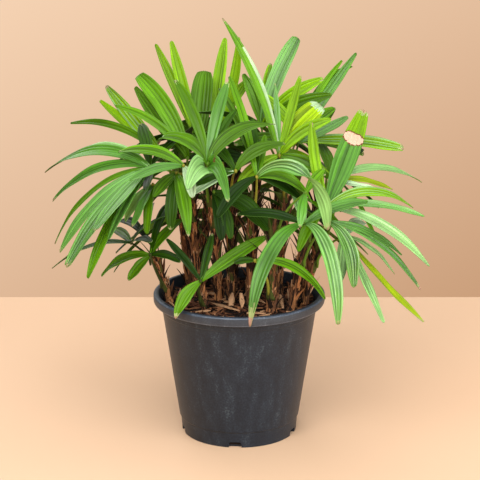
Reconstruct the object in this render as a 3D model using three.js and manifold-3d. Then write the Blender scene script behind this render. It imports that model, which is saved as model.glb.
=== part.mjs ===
// Lady palm (Rhapis) in a black nursery pot: a clump of short fibrous canes,
// each crowned by fan-shaped fronds of blunt, drooping leaflets.
// Millimetres, +Z up. The origin is the centre of the pot's flat underside.
// -Y is the front of the plant. Azimuths are degrees from +X towards +Y.

import * as THREE from "three";
import { mergeVertices } from "three/addons/utils/BufferGeometryUtils.js";
import Module from "manifold-3d";

const wasm = await Module();
wasm.setup();

// ---- Driving dimensions -------------------------------------------------

const POT = {
  height: 172,
  rimRadius: 102,
  rimDepth: 11,
  lipWidth: 6,
  collarRadius: 93,
  collarDepth: 9,
  collarStep: 1.2,
  footRadius: 69,
  footDepth: 19,
  footStep: 1.5,
  wall: 2.5,
  floor: 3,
  sides: 40,
};
const NOTCH = { count: 5, width: 15, height: 7, depth: 5, firstAzimuth: -94 };
const SOIL = { top: 161 };
const CLEARANCE = 0.3; // between any two solids that touch on the real plant
const FINEST = 0.02; // no edge of a joined solid is left shorter than about this

const CANE = { sides: 6, sheathPitch: 30, mouth: 1.12, throat: 0.94, step: 0.8, lean: 1.25 };
const FLARE = { factor: 1.35, height: 7 };
const TONGUE = { perCane: 2, length: 20, width: 8, thickness: 2.2, lean: 24 };
const PETIOLE = { radius: 1.5, steps: 6, knob: 3, belowHub: 14 };
const LEAFLET = {
  rootWidth: 0.24,
  tipWidth: 0.3,
  widest: 0.52,
  thickness: 0.015,
  minThickness: 1.2,
  bend: 1.2,
  steepest: 86,
  twist: 0.3, // how far a blade bent by 90 degrees turns its face up
  steps: 20,
  stations: [0, 4, 9, 14, 18, 20],
  short: 85, // a shorter leaflet has fewer stations
  shortStations: [0, 6, 12, 17, 20],
  restLift: 12,
};

// Leaves keep to cells of their own, so that no two fronds touch.
const SPACE = { cell: 2, sample: 1.3, limbMargin: 1.5 };
const TURN_ASIDE = [
  [0, 0], [0, 4], [0, -4], [3, 0], [-3, 0], [0, 8], [0, -8], [5, 5], [-5, 5],
  [5, -5], [-5, -5], [8, 0], [-8, 0], [0, 14], [0, -14], [12, 6], [-12, 6],
];
const SHORTEN = [1, 0.8, 0.6];

// A cane: foot on the soil [x, y], top [x, y, z], radius at foot and at top.
const CANES = [
  { foot: [-82, -8], top: [-99, -22, 220], radius: [4.5, 3.2] },
  { foot: [-60, 45], top: [-74, 34, 292], radius: [5.6, 4.2] },
  { foot: [-50, 20], top: [-56, 2, 300], radius: [5.4, 4.2] },
  { foot: [-44, 67], top: [-36, 64, 298], radius: [5.4, 4.2] },
  { foot: [-24, 2], top: [-33, -24, 298], radius: [5.6, 4.4] },
  { foot: [-10, -12], top: [-12, -8, 304], radius: [5, 4] },
  { foot: [13, -27], top: [15, -36, 288], radius: [6, 4.6] },
  { foot: [38, -46], top: [38, -52, 258], radius: [6.2, 4.6] },
  { foot: [62, -39], top: [78, -44, 256], radius: [6.4, 4.8] },
  { foot: [77, -20], top: [96, -18, 246], radius: [5.4, 4.2] },
  { foot: [-41, -46], top: [-43, -58, 186], radius: [4, 3] },
  { foot: [15, 38], top: [22, 42, 306], radius: [5.6, 4.2] },
  { foot: [46, 10], top: [56, 6, 296], radius: [5.6, 4.4] },
  { foot: [-8, 74], top: [-10, 90, 292], radius: [5.4, 4.2] },
  { foot: [36, 70], top: [50, 90, 286], radius: [5.4, 4.2] },
  { foot: [72, 28], top: [96, 42, 276], radius: [5.4, 4.2] },
];

// A frond: the cane that carries it, the hub where its leaflets meet, and the
// way its fan faces [azimuth, tilt from level]. A leaflet is
// [turn, length, width, sag, lift]: turn is its angle in the fan from uphill,
// clockwise; lift raises it out of the fan; sag is how far it bends down.
// rest adds leaflets at even turns: [first, last, count, length, width, sag].
const FRONDS = [
  { cane: 4, hub: [-35, -75, 346], face: [-95, 58], leaflets: [
    [-25, 85, 17, 85, 15], [-12, 115, 13, 40, 15], [5, 105, 14, 35, 15], [12, 75, 10, 40, 15],
    [20, 100, 19, 80, 20], [-130, 65, 30, 60, 70], [100, 90, 21, 80, 70]] },
  { cane: 12, hub: [46, -25, 344], face: [-90, 72], leaflets: [
    [-10, 175, 12, 30, 10], [25, 80, 26, 30, 5], [15, 95, 11, 0, 5], [-2, 85, 8, 15, 5],
    [-10, 70, 11, 20, 0]], rest: [-95, 95, 4, 75, 12, 45] },
  { cane: 6, hub: [20, -60, 327], face: [-75, 52], leaflets: [
    [50, 140, 18, 150, 55], [80, 80, 16, 90, 25], [5, 75, 11, 10, 5], [20, 60, 10, 5, 0],
    [-5, 135, 10, 40, 10], [-2, 140, 10, 30, 10], [105, 60, 14, 45, 10]], rest: [-110, -50, 2, 70, 13, 50] },
  { cane: 8, hub: [100, -60, 292], face: [-75, 45], leaflets: [
    [-10, 100, 14, -30, 10], [30, 140, 27, 0, 5], [60, 120, 15, 75, 20], [85, 120, 10, 35, 10],
    [115, 140, 14, 50, 25]], rest: [-120, -60, 3, 66, 12, 55] },
  { cane: 7, hub: [73, -90, 280], face: [-85, 35], leaflets: [
    [155, 160, 17, 115, 55], [-130, 165, 18, 95, 40]], rest: [-60, 60, 3, 80, 13, 40] },
  { cane: 2, hub: [-101, -60, 339], face: [-140, 40], leaflets: [
    [180, 155, 25, 35, 20], [-155, 145, 22, 45, 20], [165, 115, 22, 15, 20], [-85, 165, 19, 65, 30],
    [-105, 145, 17, 60, 25], [175, 150, 19, 35, 10], [-75, 135, 11, 55, 25], [165, 105, 14, 20, 10],
    [-130, 155, 12, 60, 20]],
    rest: [-40, 40, 3, 100, 14, 45] },
  { cane: 10, hub: [-44, -75, 208], face: [-95, 55], leaflets: [
    [45, 95, 16, 15, 5], [-130, 55, 16, 55, 20], [10, 60, 10, 0, 0], [-35, 65, 9, 15, 10]] },
  { cane: 8, hub: [102, -80, 280], face: [-60, 40], leaflets: [
    [170, 90, 20, 100, 35], [115, 95, 13, 40, 15], [125, 135, 10, 50, 15]] },
  { cane: 4, hub: [-62, -85, 346], face: [-120, 35], leaflets: [
    [-70, 90, 16, 55, 15], [-125, 65, 17, 40, 20]], rest: [70, 130, 2, 45, 11, 60] },
  { cane: 2, hub: [-71, -62, 332], face: [-95, 40], leaflets: [
    [160, 100, 16, 55, 35]], rest: [-175, -125, 2, 70, 13, 60] },
  { cane: 5, hub: [-4, -60, 334], face: [-75, 45], leaflets: [
    [35, 70, 15, 70, 25], [-105, 70, 11, 30, 10]], rest: [-80, -20, 2, 76, 13, 50] },
  { cane: 2, hub: [-59, -35, 343], face: [-105, 62], leaflets: [
    [-22, 130, 21, 40, 10], [-45, 120, 15, -5, -10], [-35, 115, 10, 50, 15]],
    rest: [10, 70, 2, 90, 14, 40] },
  { cane: 1, hub: [-84, -30, 340], face: [-130, 55], leaflets: [
    [-60, 145, 16, 0, 5], [-65, 140, 11, 5, 5], [-60, 160, 9, 50, 20]],
    rest: [-35, 35, 3, 110, 15, 40] },
  { cane: 9, hub: [109, -20, 314], face: [-60, 35], leaflets: [
    [75, 140, 14, 55, 15], [95, 80, 10, 35, 10], [125, 50, 8, 0, 10]], rest: [-60, 45, 4, 90, 14, 40] },
  { cane: 12, hub: [70, 20, 350], face: [-70, 40], leaflets: [
    [90, 135, 18, 20, 5], [75, 70, 12, -5, 10]], rest: [-70, 40, 3, 80, 14, 40] },
  { cane: 9, hub: [122, -50, 255], face: [-30, 40], leaflets: [
    [-170, 140, 12, -10, 0], [-150, 125, 15, 5, 0], [120, 100, 12, 35, 0]], rest: [-110, 70, 4, 76, 13, 45] },
  { cane: 5, hub: [-32, 50, 348], face: [-90, 72], leaflets: [
    [5, 125, 15, 15, 0], [30, 125, 12, -30, 5], [20, 90, 15, 30, 0]], rest: [-45, -15, 2, 80, 13, 40] },
  { cane: 3, hub: [-48, 25, 348], face: [-100, 72], leaflets: [
    [-25, 130, 12, 5, 0], [-20, 125, 14, -5, 0], [0, 90, 26, 35, 10]] },
  { cane: 11, hub: [27, 55, 359], face: [-90, 75], leaflets: [
    [10, 120, 19, 30, 5], [5, 80, 12, 15, 0], [-5, 80, 13, 20, 0], [-10, 70, 13, 25, 0]],
    rest: [30, 80, 3, 96, 14, 40] },
  { cane: 12, hub: [68, 62, 340], face: [-70, 70], leaflets: [
    [40, 140, 12, 5, 0], [20, 155, 10, 65, 5], [25, 125, 8, 30, 5], [65, 65, 12, -20, 5]],
    rest: [85, 120, 2, 90, 13, 45] },
  { cane: 0, hub: [-103, -40, 229], face: [-110, 50], leaflets: [
    [-90, 70, 14, 65, 15], [-140, 40, 13, 25, 5], [70, 40, 11, 60, 15], [10, 70, 13, 35, -5],
    [-5, 135, 12, 65, 0]] },
  { cane: 0, hub: [-127, -10, 235], face: [170, 35], leaflets: [
    [-150, 140, 16, 40, 30], [-110, 115, 12, 15, 15]], rest: [-40, 40, 3, 60, 11, 40] },
  { cane: 0, hub: [-111, 0, 238], face: [-150, 45], leaflets: [
    [-70, 105, 12, 45, 10], [-45, 115, 12, 50, 5]] },
  { cane: 2, hub: [-98, -60, 318], face: [-140, 50], leaflets: [
    [-155, 55, 18, 40, 15], [160, 60, 14, 25, 20], [150, 60, 12, 55, 10]] },
  { cane: 7, hub: [75, -80, 313], face: [-80, 50], leaflets: [
    [-150, 50, 11, 65, 35], [30, 45, 11, 30, -5]] },
  { cane: 7, hub: [18, -70, 231], face: [-80, 50], leaflets: [
    [90, 100, 13, 75, 20], [-75, 25, 9, 40, 10]] },
  { cane: 4, hub: [-29, -50, 307], face: [-60, 45], leaflets: [
    [125, 80, 24, 50, 15]], rest: [-170, 170, 2, 60, 13, 50] },
];

// The far side of the clump: rings of fronds that face outwards.
const BACK_RINGS = [
  { count: 6, from: 12, to: 172, reach: 104, height: 312, tilt: 46 },
  { count: 2, from: 70, to: 125, reach: 84, height: 345, tilt: 50 },
  { count: 3, from: 50, to: 130, reach: 100, height: 246, tilt: 40 },
];
const BACK_FAN = { count: 8, spread: 250, length: 122, width: 15, sag: 45, lift: 12, scatter: 9 };
const SEED = 7;

const COLOUR = {
  pot: 0x1c1d20, soil: 0x3a2718, cane: 0x6b4a30,
  leaf: [0x3f8f2e, 0x5aa83a, 0x2f7a3a, 0x79b93a],
};

// ---- Vectors and solids -------------------------------------------------

const radians = THREE.MathUtils.degToRad;
const lerp = THREE.MathUtils.lerp;
const UP = new THREE.Vector3(0, 0, 1);

function toward(azimuth, elevation = 0) {
  const [a, e] = [radians(azimuth), radians(elevation)];
  return new THREE.Vector3(Math.cos(a) * Math.cos(e), Math.sin(a) * Math.cos(e), Math.sin(e));
}

// a * p + b * q
function blend(a, p, b, q) {
  return p.clone().multiplyScalar(a).addScaledVector(q, b);
}

function randomFrom(seed) {
  let state = seed;
  return () => {
    state = (state * 16807) % 2147483647;
    return state / 2147483647;
  };
}

function toSolid(geometry) {
  const bare = geometry.clone();
  bare.deleteAttribute("normal");
  bare.deleteAttribute("uv");
  const merged = mergeVertices(bare, 1e-4);
  const vertProperties = new Float32Array(merged.attributes.position.array);
  const triVerts = new Uint32Array(merged.index.array);
  return new wasm.Manifold(new wasm.Mesh({ numProp: 3, vertProperties, triVerts }));
}

function toGeometry(solid) {
  const { vertProperties, triVerts } = solid.getMesh();
  const geometry = new THREE.BufferGeometry();
  geometry.setAttribute("position", new THREE.BufferAttribute(vertProperties, 3));
  geometry.setIndex(new THREE.BufferAttribute(triVerts, 1));
  geometry.computeVertexNormals();
  return geometry;
}

// One solid of several that overlap, with no sliver edges or sealed hollows.
function join(geometries) {
  const joined = geometries.map(toSolid).reduce((all, one) => all.add(one));
  const skins = joined.simplify(FINEST).decompose();
  return toGeometry(skins.sort((a, b) => b.volume() - a.volume())[0]);
}

function namedMesh(name, geometry, color, roughness = 0.6) {
  const material = new THREE.MeshStandardMaterial({ color, roughness, metalness: 0 });
  const mesh = new THREE.Mesh(geometry, material);
  mesh.name = name;
  return mesh;
}

// A closed skin over rings of points; each ring turns anticlockwise about the
// way from the first ring to the last.
function loft(rings) {
  const size = rings[0].length;
  const points = rings.flat().flatMap((point) => point.toArray());
  const faces = [];
  for (let ring = 0; ring + 1 < rings.length; ring += 1) {
    for (let side = 0; side < size; side += 1) {
      const a = ring * size + side;
      const b = ring * size + ((side + 1) % size);
      faces.push(a, b, b + size, a, b + size, a + size);
    }
  }
  const last = (rings.length - 1) * size;
  for (let side = 1; side + 1 < size; side += 1) {
    faces.push(0, side + 1, side, last, last + side, last + side + 1);
  }
  const geometry = new THREE.BufferGeometry();
  geometry.setAttribute("position", new THREE.Float32BufferAttribute(points, 3));
  geometry.setIndex(faces);
  return geometry;
}

// ---- Pot and soil -------------------------------------------------------

function lathe(profile) {
  const outline = profile.map(([radius, z]) => new THREE.Vector2(radius, z));
  return new THREE.LatheGeometry(outline, POT.sides).rotateX(Math.PI / 2);
}

const rimBottom = POT.height - POT.rimDepth;
const collarBottom = rimBottom - POT.collarDepth;
const INSIDE = {
  top: POT.collarRadius - POT.wall + 1,
  topHeight: rimBottom + 3,
  bottom: POT.footRadius - POT.wall,
};

function insideRadius(z) {
  return lerp(INSIDE.bottom, INSIDE.top, (z - POT.floor) / (INSIDE.topHeight - POT.floor));
}

function potGeometry() {
  const profile = [
    [0, 0],
    [POT.footRadius, 0],
    [POT.footRadius + POT.footStep, POT.footDepth],
    [POT.footRadius + 2 * POT.footStep, POT.footDepth + 1],
    [POT.collarRadius - POT.collarStep, collarBottom],
    [POT.collarRadius, collarBottom + 1],
    [POT.collarRadius + 1, rimBottom],
    [POT.rimRadius - 1, rimBottom],
    [POT.rimRadius, rimBottom + 2],
    [POT.rimRadius, POT.height - 1.5],
    [POT.rimRadius - 1.5, POT.height],
    [POT.rimRadius - POT.lipWidth, POT.height],
    [INSIDE.top, INSIDE.topHeight],
    [INSIDE.bottom, POT.floor],
    [0, POT.floor],
  ];
  let pot = toSolid(lathe(profile));
  for (let i = 0; i < NOTCH.count; i += 1) {
    const azimuth = NOTCH.firstAzimuth + (i * 360) / NOTCH.count;
    const block = new THREE.BoxGeometry(2 * NOTCH.depth, NOTCH.width, 2 * NOTCH.height);
    block.translate(POT.footRadius, 0, 0).rotateZ(radians(azimuth));
    pot = pot.subtract(toSolid(block));
  }
  return toGeometry(pot);
}

function soilGeometry() {
  const bottom = POT.floor + CLEARANCE;
  return lathe([
    [0, bottom],
    [insideRadius(bottom) - 2 * CLEARANCE, bottom],
    [insideRadius(SOIL.top) - 2 * CLEARANCE, SOIL.top],
    [0, SOIL.top],
  ]);
}

// ---- Canes --------------------------------------------------------------

const CANE_FOOT = SOIL.top + CLEARANCE;

// Centre of a cane at a height: it rises steeply, then leans out.
function caneCentre(cane, z) {
  const along = (z - CANE_FOOT) / (cane.top[2] - CANE_FOOT);
  const lean = Math.max(along, 0) ** CANE.lean;
  const [x, y] = [0, 1].map((axis) => lerp(cane.foot[axis], cane.top[axis], lean));
  return new THREE.Vector3(x, y, z);
}

function caneRadius(cane, z) {
  const along = (z - CANE_FOOT) / (cane.top[2] - CANE_FOOT);
  const flare = 1 + (FLARE.factor - 1) * Math.max(0, 1 - (z - CANE_FOOT) / FLARE.height);
  return lerp(cane.radius[0], cane.radius[1], along) * flare;
}

// Heights of the open mouths of the sheaths that clothe a cane.
function sheathMouths(cane) {
  const count = Math.round((cane.top[2] - CANE_FOOT) / CANE.sheathPitch);
  const pitch = (cane.top[2] - CANE_FOOT) / count;
  return Array.from({ length: count }, (_, i) => CANE_FOOT + (i + 1) * pitch);
}

function caneRing(cane, z, factor) {
  const centre = caneCentre(cane, z);
  const radius = caneRadius(cane, z) * factor;
  return Array.from({ length: CANE.sides }, (_, side) =>
    toward((side * 360) / CANE.sides).multiplyScalar(radius).add(centre));
}

// A torn point of sheath that stands away from the cane.
function tongueGeometry(cane, z, azimuth) {
  const outward = toward(azimuth);
  const root = caneCentre(cane, z).addScaledVector(outward, caneRadius(cane, z) * 0.6);
  const cone = new THREE.ConeGeometry(TONGUE.width / 2, TONGUE.length, 4);
  cone.scale(TONGUE.thickness / TONGUE.width, 1, 1).translate(0, TONGUE.length / 2, 0);
  cone.rotateX(Math.PI / 2).rotateY(radians(TONGUE.lean)).rotateZ(radians(azimuth));
  return cone.translate(...root.toArray());
}

function caneGeometry(cane, random) {
  const rings = [caneRing(cane, CANE_FOOT, 1), caneRing(cane, CANE_FOOT + FLARE.height, 1)];
  const mouths = sheathMouths(cane);
  for (const mouth of mouths.slice(0, -1)) {
    rings.push(caneRing(cane, mouth, CANE.mouth), caneRing(cane, mouth + CANE.step, CANE.throat));
  }
  rings.push(caneRing(cane, cane.top[2], CANE.mouth));
  const tongues = Array.from({ length: TONGUE.perCane }, (_, i) => {
    const azimuth = 360 * (i / TONGUE.perCane + 0.25 * random());
    return tongueGeometry(cane, CANE_FOOT + FLARE.height + 9 * i + 3 * random(), azimuth);
  });
  return join([loft(rings), ...tongues]);
}

// ---- The space that each frond keeps to ---------------------------------

const SHARED = -1;
const space = new Map();

function cellOf(point) {
  return [point.x, point.y, point.z].map((value) => Math.floor(value / SPACE.cell) + 300);
}

const keyOf = (x, y, z) => x + 1000 * (y + 1000 * z);

function claim(points, owner) {
  const cells = new Map(points.map((point) => [keyOf(...cellOf(point)), cellOf(point)]));
  for (const [x, y, z] of cells.values()) {
    for (let i = 0; i < 27; i += 1) {
      const key = keyOf(x + (i % 3) - 1, y + (Math.floor(i / 3) % 3) - 1, z + Math.floor(i / 9) - 1);
      const holder = space.get(key) ?? owner;
      space.set(key, holder === owner ? owner : SHARED);
    }
  }
}

function meetsPot(point) {
  const out = Math.hypot(point.x, point.y);
  const overRim = point.z < POT.height + SPACE.limbMargin && out < POT.rimRadius + SPACE.limbMargin;
  const inMouth = out < INSIDE.top - SPACE.limbMargin && point.z > SOIL.top + SPACE.limbMargin;
  return overRim && !inMouth;
}

function meetsCane(point, cane, margin) {
  if (point.z > cane.top[2] + margin) return false;
  const out = Math.hypot(...caneCentre(cane, point.z).sub(point).toArray());
  return out < caneRadius(cane, point.z) * CANE.mouth + margin;
}

// True where no pot, cane or other frond is met. ownCane may be passed closely.
function isFree(points, owner, ownCane) {
  return points.every((point) => {
    const holder = space.get(keyOf(...cellOf(point)));
    if (holder !== undefined && holder !== owner) return false;
    if (meetsPot(point)) return false;
    return CANES.every((cane) => {
      const margin = cane === ownCane ? CLEARANCE / 2 : SPACE.limbMargin;
      return !meetsCane(point, cane, margin);
    });
  });
}

// ---- Petioles -----------------------------------------------------------

// Ways for a petiole to leave its cane: from a corner at the mouth of a sheath,
// the highest mouth first, and the corner nearest to the hub before the others.
function petioleWays(cane, hub) {
  const mouths = sheathMouths(cane).filter((z) => z < hub.z - PETIOLE.belowHub).reverse();
  const ways = [];
  for (const z of mouths) {
    const centre = caneCentre(cane, z);
    const aim = (Math.atan2(hub.y - centre.y, hub.x - centre.x) * 180) / Math.PI;
    const nearest = Math.round((aim * CANE.sides) / 360);
    for (const turn of [0, 1, -1, 2, -2, 3]) {
      const outward = toward(((nearest + turn) * 360) / CANE.sides);
      const reach = caneRadius(cane, z) * CANE.mouth + CLEARANCE + PETIOLE.radius;
      ways.push({ foot: centre.clone().addScaledVector(outward, reach), outward });
    }
  }
  return ways;
}

function petioleCurve(cane, hub, { foot, outward }) {
  const rise = 0.55 * (hub.z - foot.z);
  const above = caneCentre(cane, foot.z + rise).sub(caneCentre(cane, foot.z));
  const bend = foot.clone().add(above).addScaledVector(outward, 2 * PETIOLE.radius);
  return new THREE.QuadraticBezierCurve3(foot, bend, hub);
}

// Three-sided rings along a curve, with the first corner towards the cane. The
// first ring lies level, so that its corner is just clear of the sheath's mouth.
function petioleRings(curve, outward, steps) {
  let side = outward.clone().negate();
  return Array.from({ length: steps + 1 }, (_, i) => {
    const along = i === 0 ? UP : curve.getTangent(i / steps);
    side = side.clone().addScaledVector(along, -side.dot(along)).normalize();
    const other = along.clone().cross(side);
    return [0, 120, 240].map((corner) => {
      const spoke = blend(Math.cos(radians(corner)), side, Math.sin(radians(corner)), other);
      return curve.getPoint(i / steps).addScaledVector(spoke, PETIOLE.radius);
    });
  });
}

// The stalk from the cane to the frond's hub by the first way that is free.
function findPetiole(frond, owner) {
  const cane = CANES[frond.cane];
  const hub = new THREE.Vector3(...frond.hub);
  for (const way of petioleWays(cane, hub)) {
    const curve = petioleCurve(cane, hub, way);
    const points = petioleRings(curve, way.outward, Math.ceil(curve.getLength() / SPACE.sample)).flat();
    if (isFree(points, owner, cane)) {
      claim(points, owner);
      return loft(petioleRings(curve, way.outward, PETIOLE.steps));
    }
  }
  return null;
}

// ---- Leaflets -----------------------------------------------------------

function fanAxes([azimuth, tilt]) {
  const normal = toward(azimuth, 90 - tilt);
  const uphill = toward(azimuth + 180, tilt);
  return { normal, uphill, right: uphill.clone().cross(normal) };
}

function leafletWidth(s) {
  if (s < LEAFLET.widest) {
    return lerp(LEAFLET.rootWidth, 1, Math.sin((Math.PI / 2) * (s / LEAFLET.widest)));
  }
  return 1 - (1 - LEAFLET.tipWidth) * ((s - LEAFLET.widest) / (1 - LEAFLET.widest)) ** 2.4;
}

// The midrib from hub to tip: each station has its point and the leaflet's
// directions along, across and normal to its blade there.
function midrib(hub, axes, [turn, length, , sag, lift]) {
  const [t, l] = [radians(turn), radians(lift)];
  const flat = blend(Math.cos(t), axes.uphill, Math.sin(t), axes.right);
  const start = blend(Math.cos(l), flat, Math.sin(l), axes.normal);
  const heading = new THREE.Vector3(start.x, start.y, 0).normalize();
  const acrossFan = flat.clone().cross(axes.normal);
  const acrossLevel = heading.clone().cross(UP);
  const rise = Math.asin(start.z);
  const point = hub.clone();
  const stations = [];
  for (let i = 0; i <= LEAFLET.steps; i += 1) {
    const bent = radians(sag) * (1 - (1 - i / LEAFLET.steps) ** LEAFLET.bend);
    const slope = Math.max(rise - bent, -radians(LEAFLET.steepest));
    const along = blend(Math.cos(slope), heading, Math.sin(slope), UP);
    const twist = LEAFLET.twist * Math.min(1, Math.abs(bent) / (Math.PI / 2));
    const across = blend(1 - twist, acrossFan, twist, acrossLevel);
    across.addScaledVector(along, -across.dot(along)).normalize();
    if (i > 0) {
      const before = stations[i - 1].along;
      point.addScaledVector(before.clone().add(along), length / LEAFLET.steps / 2);
    }
    stations.push({ point: point.clone(), along, across, normal: across.clone().cross(along) });
  }
  return stations;
}

// Each ring of a leaflet: right edge, keel, left edge.
function leafletRings(hub, axes, leaflet) {
  const [, length, width] = leaflet;
  const stations = midrib(hub, axes, leaflet);
  const chosen = length < LEAFLET.short ? LEAFLET.shortStations : LEAFLET.stations;
  return chosen.map((i) => {
    const { point, across, normal } = stations[i];
    const share = leafletWidth(i / LEAFLET.steps);
    const depth = Math.max(LEAFLET.minThickness, LEAFLET.thickness * length) * Math.sqrt(share);
    return [
      point.clone().addScaledVector(across, (width * share) / 2),
      point.clone().addScaledVector(normal, -depth),
      point.clone().addScaledVector(across, (-width * share) / 2),
    ];
  });
}

// Points spread over a blade, close enough that none of its cells is missed.
function bladePoints(rings, width) {
  const points = [];
  const rows = Math.ceil(width / SPACE.sample / 2);
  for (let ring = 0; ring + 1 < rings.length; ring += 1) {
    const steps = Math.ceil(rings[ring][1].distanceTo(rings[ring + 1][1]) / SPACE.sample);
    for (let step = 0; step < steps; step += 1) {
      const [right, keel, left] = [0, 1, 2].map((corner) =>
        rings[ring][corner].clone().lerp(rings[ring + 1][corner], step / steps));
      for (let row = 0; row <= rows; row += 1) {
        points.push(right.clone().lerp(keel, row / rows), keel.clone().lerp(left, row / rows));
        points.push(right.clone().lerp(left, row / rows));
      }
    }
  }
  return points;
}

// The leaflet, turned aside or shortened until it is clear of all else, or null.
function findLeaflet(frond, owner, axes, leaflet) {
  const hub = new THREE.Vector3(...frond.hub);
  const [turn, length, width, sag, lift] = leaflet;
  for (const share of SHORTEN) {
    for (const [aside, raise] of TURN_ASIDE) {
      const tried = [turn + aside, length * share, width, sag * share, lift + raise];
      const rings = leafletRings(hub, axes, tried);
      const points = bladePoints(rings, width);
      if (isFree(points, owner)) {
        claim(points, owner);
        return loft(rings);
      }
    }
  }
  return null;
}

function restOf({ rest }) {
  if (!rest) return [];
  const [first, last, count, length, width, sag] = rest;
  return Array.from({ length: count }, (_, i) =>
    [lerp(first, last, i / Math.max(1, count - 1)), length, width, sag, LEAFLET.restLift]);
}

// ---- The far side of the clump -------------------------------------------

function nearestCane([x, y]) {
  const gaps = CANES.map(({ top }) => Math.hypot(top[0] - x, top[1] - y));
  return gaps.indexOf(Math.min(...gaps));
}

function backFrond(azimuth, ring, random) {
  const place = toward(azimuth).multiplyScalar(ring.reach);
  const hub = [place.x, place.y, ring.height + BACK_FAN.scatter * (random() - 0.5)];
  const leaflets = Array.from({ length: BACK_FAN.count }, (_, i) => {
    const turn = BACK_FAN.spread * (i / (BACK_FAN.count - 1) - 0.5);
    const length = BACK_FAN.length * (1 - 0.25 * Math.abs(turn / 180) + 0.15 * random());
    return [turn + BACK_FAN.scatter * (random() - 0.5), length, BACK_FAN.width,
      BACK_FAN.sag * (0.7 + 0.6 * random()), BACK_FAN.lift];
  });
  return { cane: nearestCane(hub), hub, face: [azimuth, ring.tilt], leaflets };
}

function backFronds(random) {
  return BACK_RINGS.flatMap((ring) =>
    Array.from({ length: ring.count }, (_, i) =>
      backFrond(lerp(ring.from, ring.to, i / (ring.count - 1)), ring, random)));
}

// ---- Assembly -----------------------------------------------------------

const plant = new THREE.Group();
const random = randomFrom(SEED);
const numbered = (kind, index) => `${kind}_${String(index + 1).padStart(2, "0")}`;

plant.add(namedMesh("pot", potGeometry(), COLOUR.pot, 0.55));
plant.add(namedMesh("soil", soilGeometry(), COLOUR.soil, 0.95));
CANES.forEach((cane, i) => {
  plant.add(namedMesh(numbered("cane", i), caneGeometry(cane, random), COLOUR.cane, 0.9));
});

const fronds = [...FRONDS, ...backFronds(random)];
const grown = fronds.map((frond, i) => [findPetiole(frond, i)]);

// Adds to each frond the leaflets that find room.
function grow(leafletsOf) {
  fronds.forEach((frond, i) => {
    const axes = fanAxes(frond.face);
    const found = leafletsOf(frond).map((leaflet) => findLeaflet(frond, i, axes, leaflet));
    grown[i].push(...found.filter((leaflet) => leaflet !== null));
  });
}

grow((frond) => frond.leaflets);
grow(restOf);
fronds.forEach((frond, i) => {
  const knob = new THREE.IcosahedronGeometry(PETIOLE.knob).translate(...frond.hub);
  const colour = COLOUR.leaf[i % COLOUR.leaf.length];
  plant.add(namedMesh(numbered("frond", i), join([knob, ...grown[i]]), colour));
});

export default plant;
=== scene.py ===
"""Lady palm (Rhapis) in a black nursery pot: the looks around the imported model.

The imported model's canes, fronds, soil and pot are replaced by finer meshes. The
leaves repeat the growth rule of the part's source, with ribbed and toothed
leaflets in place of its plain ones. Lengths are in millimetres up to the point
where a mesh is made, and metres from there on.
"""

import functools
import math
import random

import bpy
import numpy as np
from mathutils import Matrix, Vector
from mathutils.kdtree import KDTree


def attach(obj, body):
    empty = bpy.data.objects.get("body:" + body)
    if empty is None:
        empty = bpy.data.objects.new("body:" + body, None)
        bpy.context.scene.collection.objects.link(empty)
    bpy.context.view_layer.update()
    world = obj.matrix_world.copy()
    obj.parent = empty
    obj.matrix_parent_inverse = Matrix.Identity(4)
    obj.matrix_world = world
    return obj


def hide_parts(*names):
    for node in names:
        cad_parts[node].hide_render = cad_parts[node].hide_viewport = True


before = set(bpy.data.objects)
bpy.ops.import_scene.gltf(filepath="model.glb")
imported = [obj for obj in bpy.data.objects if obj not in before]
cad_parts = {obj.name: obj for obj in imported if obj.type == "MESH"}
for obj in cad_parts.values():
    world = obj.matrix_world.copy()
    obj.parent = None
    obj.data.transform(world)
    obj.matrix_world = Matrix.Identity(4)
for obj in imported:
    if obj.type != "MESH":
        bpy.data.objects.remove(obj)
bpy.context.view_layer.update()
MM = 0.001

# ---- The sizes and tables that the part's source has too

# Pot and soil.
POT_HEIGHT = 172
RIM_RADIUS = 102
RIM_DEPTH = 11
LIP_WIDTH = 6
COLLAR_RADIUS = 93
COLLAR_DEPTH = 9
COLLAR_STEP = 1.2
FOOT_RADIUS = 69
FOOT_DEPTH = 19
FOOT_STEP = 1.5
POT_WALL = 2.5
POT_FLOOR = 3
NOTCH = {"count": 5, "width": 15, "height": 7, "depth": 5, "first_azimuth": -94}
SOIL_TOP = 161
CLEARANCE = 0.3

# Canes, with a ring of leaf sheath at every pitch.
CANE_SIDES = 6
SHEATH_PITCH = 30
SHEATH_MOUTH = 1.12
CANE_LEAN = 1.25
FLARE_FACTOR = 1.35
FLARE_HEIGHT = 7
TONGUES_PER_CANE = 2

# Leaf stalks.
PETIOLE_RADIUS = 1.5
PETIOLE_BELOW_HUB = 14
PETIOLE_RISE = 0.55

# Leaflets. Widths are shares of the greatest, which lies at WIDEST of the length.
ROOT_WIDTH = 0.24
TIP_WIDTH = 0.3
WIDEST = 0.52
BEND = 1.2
STEEPEST = 86
TWIST = 0.3
STEPS = 20
REST_LIFT = 12

# A leaflet that would touch something is turned aside by (turn, lift), then shortened.
TURN_ASIDE = [
    (0, 0), (0, 4), (0, -4), (3, 0), (-3, 0), (0, 8), (0, -8), (5, 5), (-5, 5),
    (5, -5), (-5, -5), (8, 0), (-8, 0), (0, 14), (0, -14), (12, 6), (-12, 6),
]
SHORTEN = (1, 0.8, 0.6)

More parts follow.
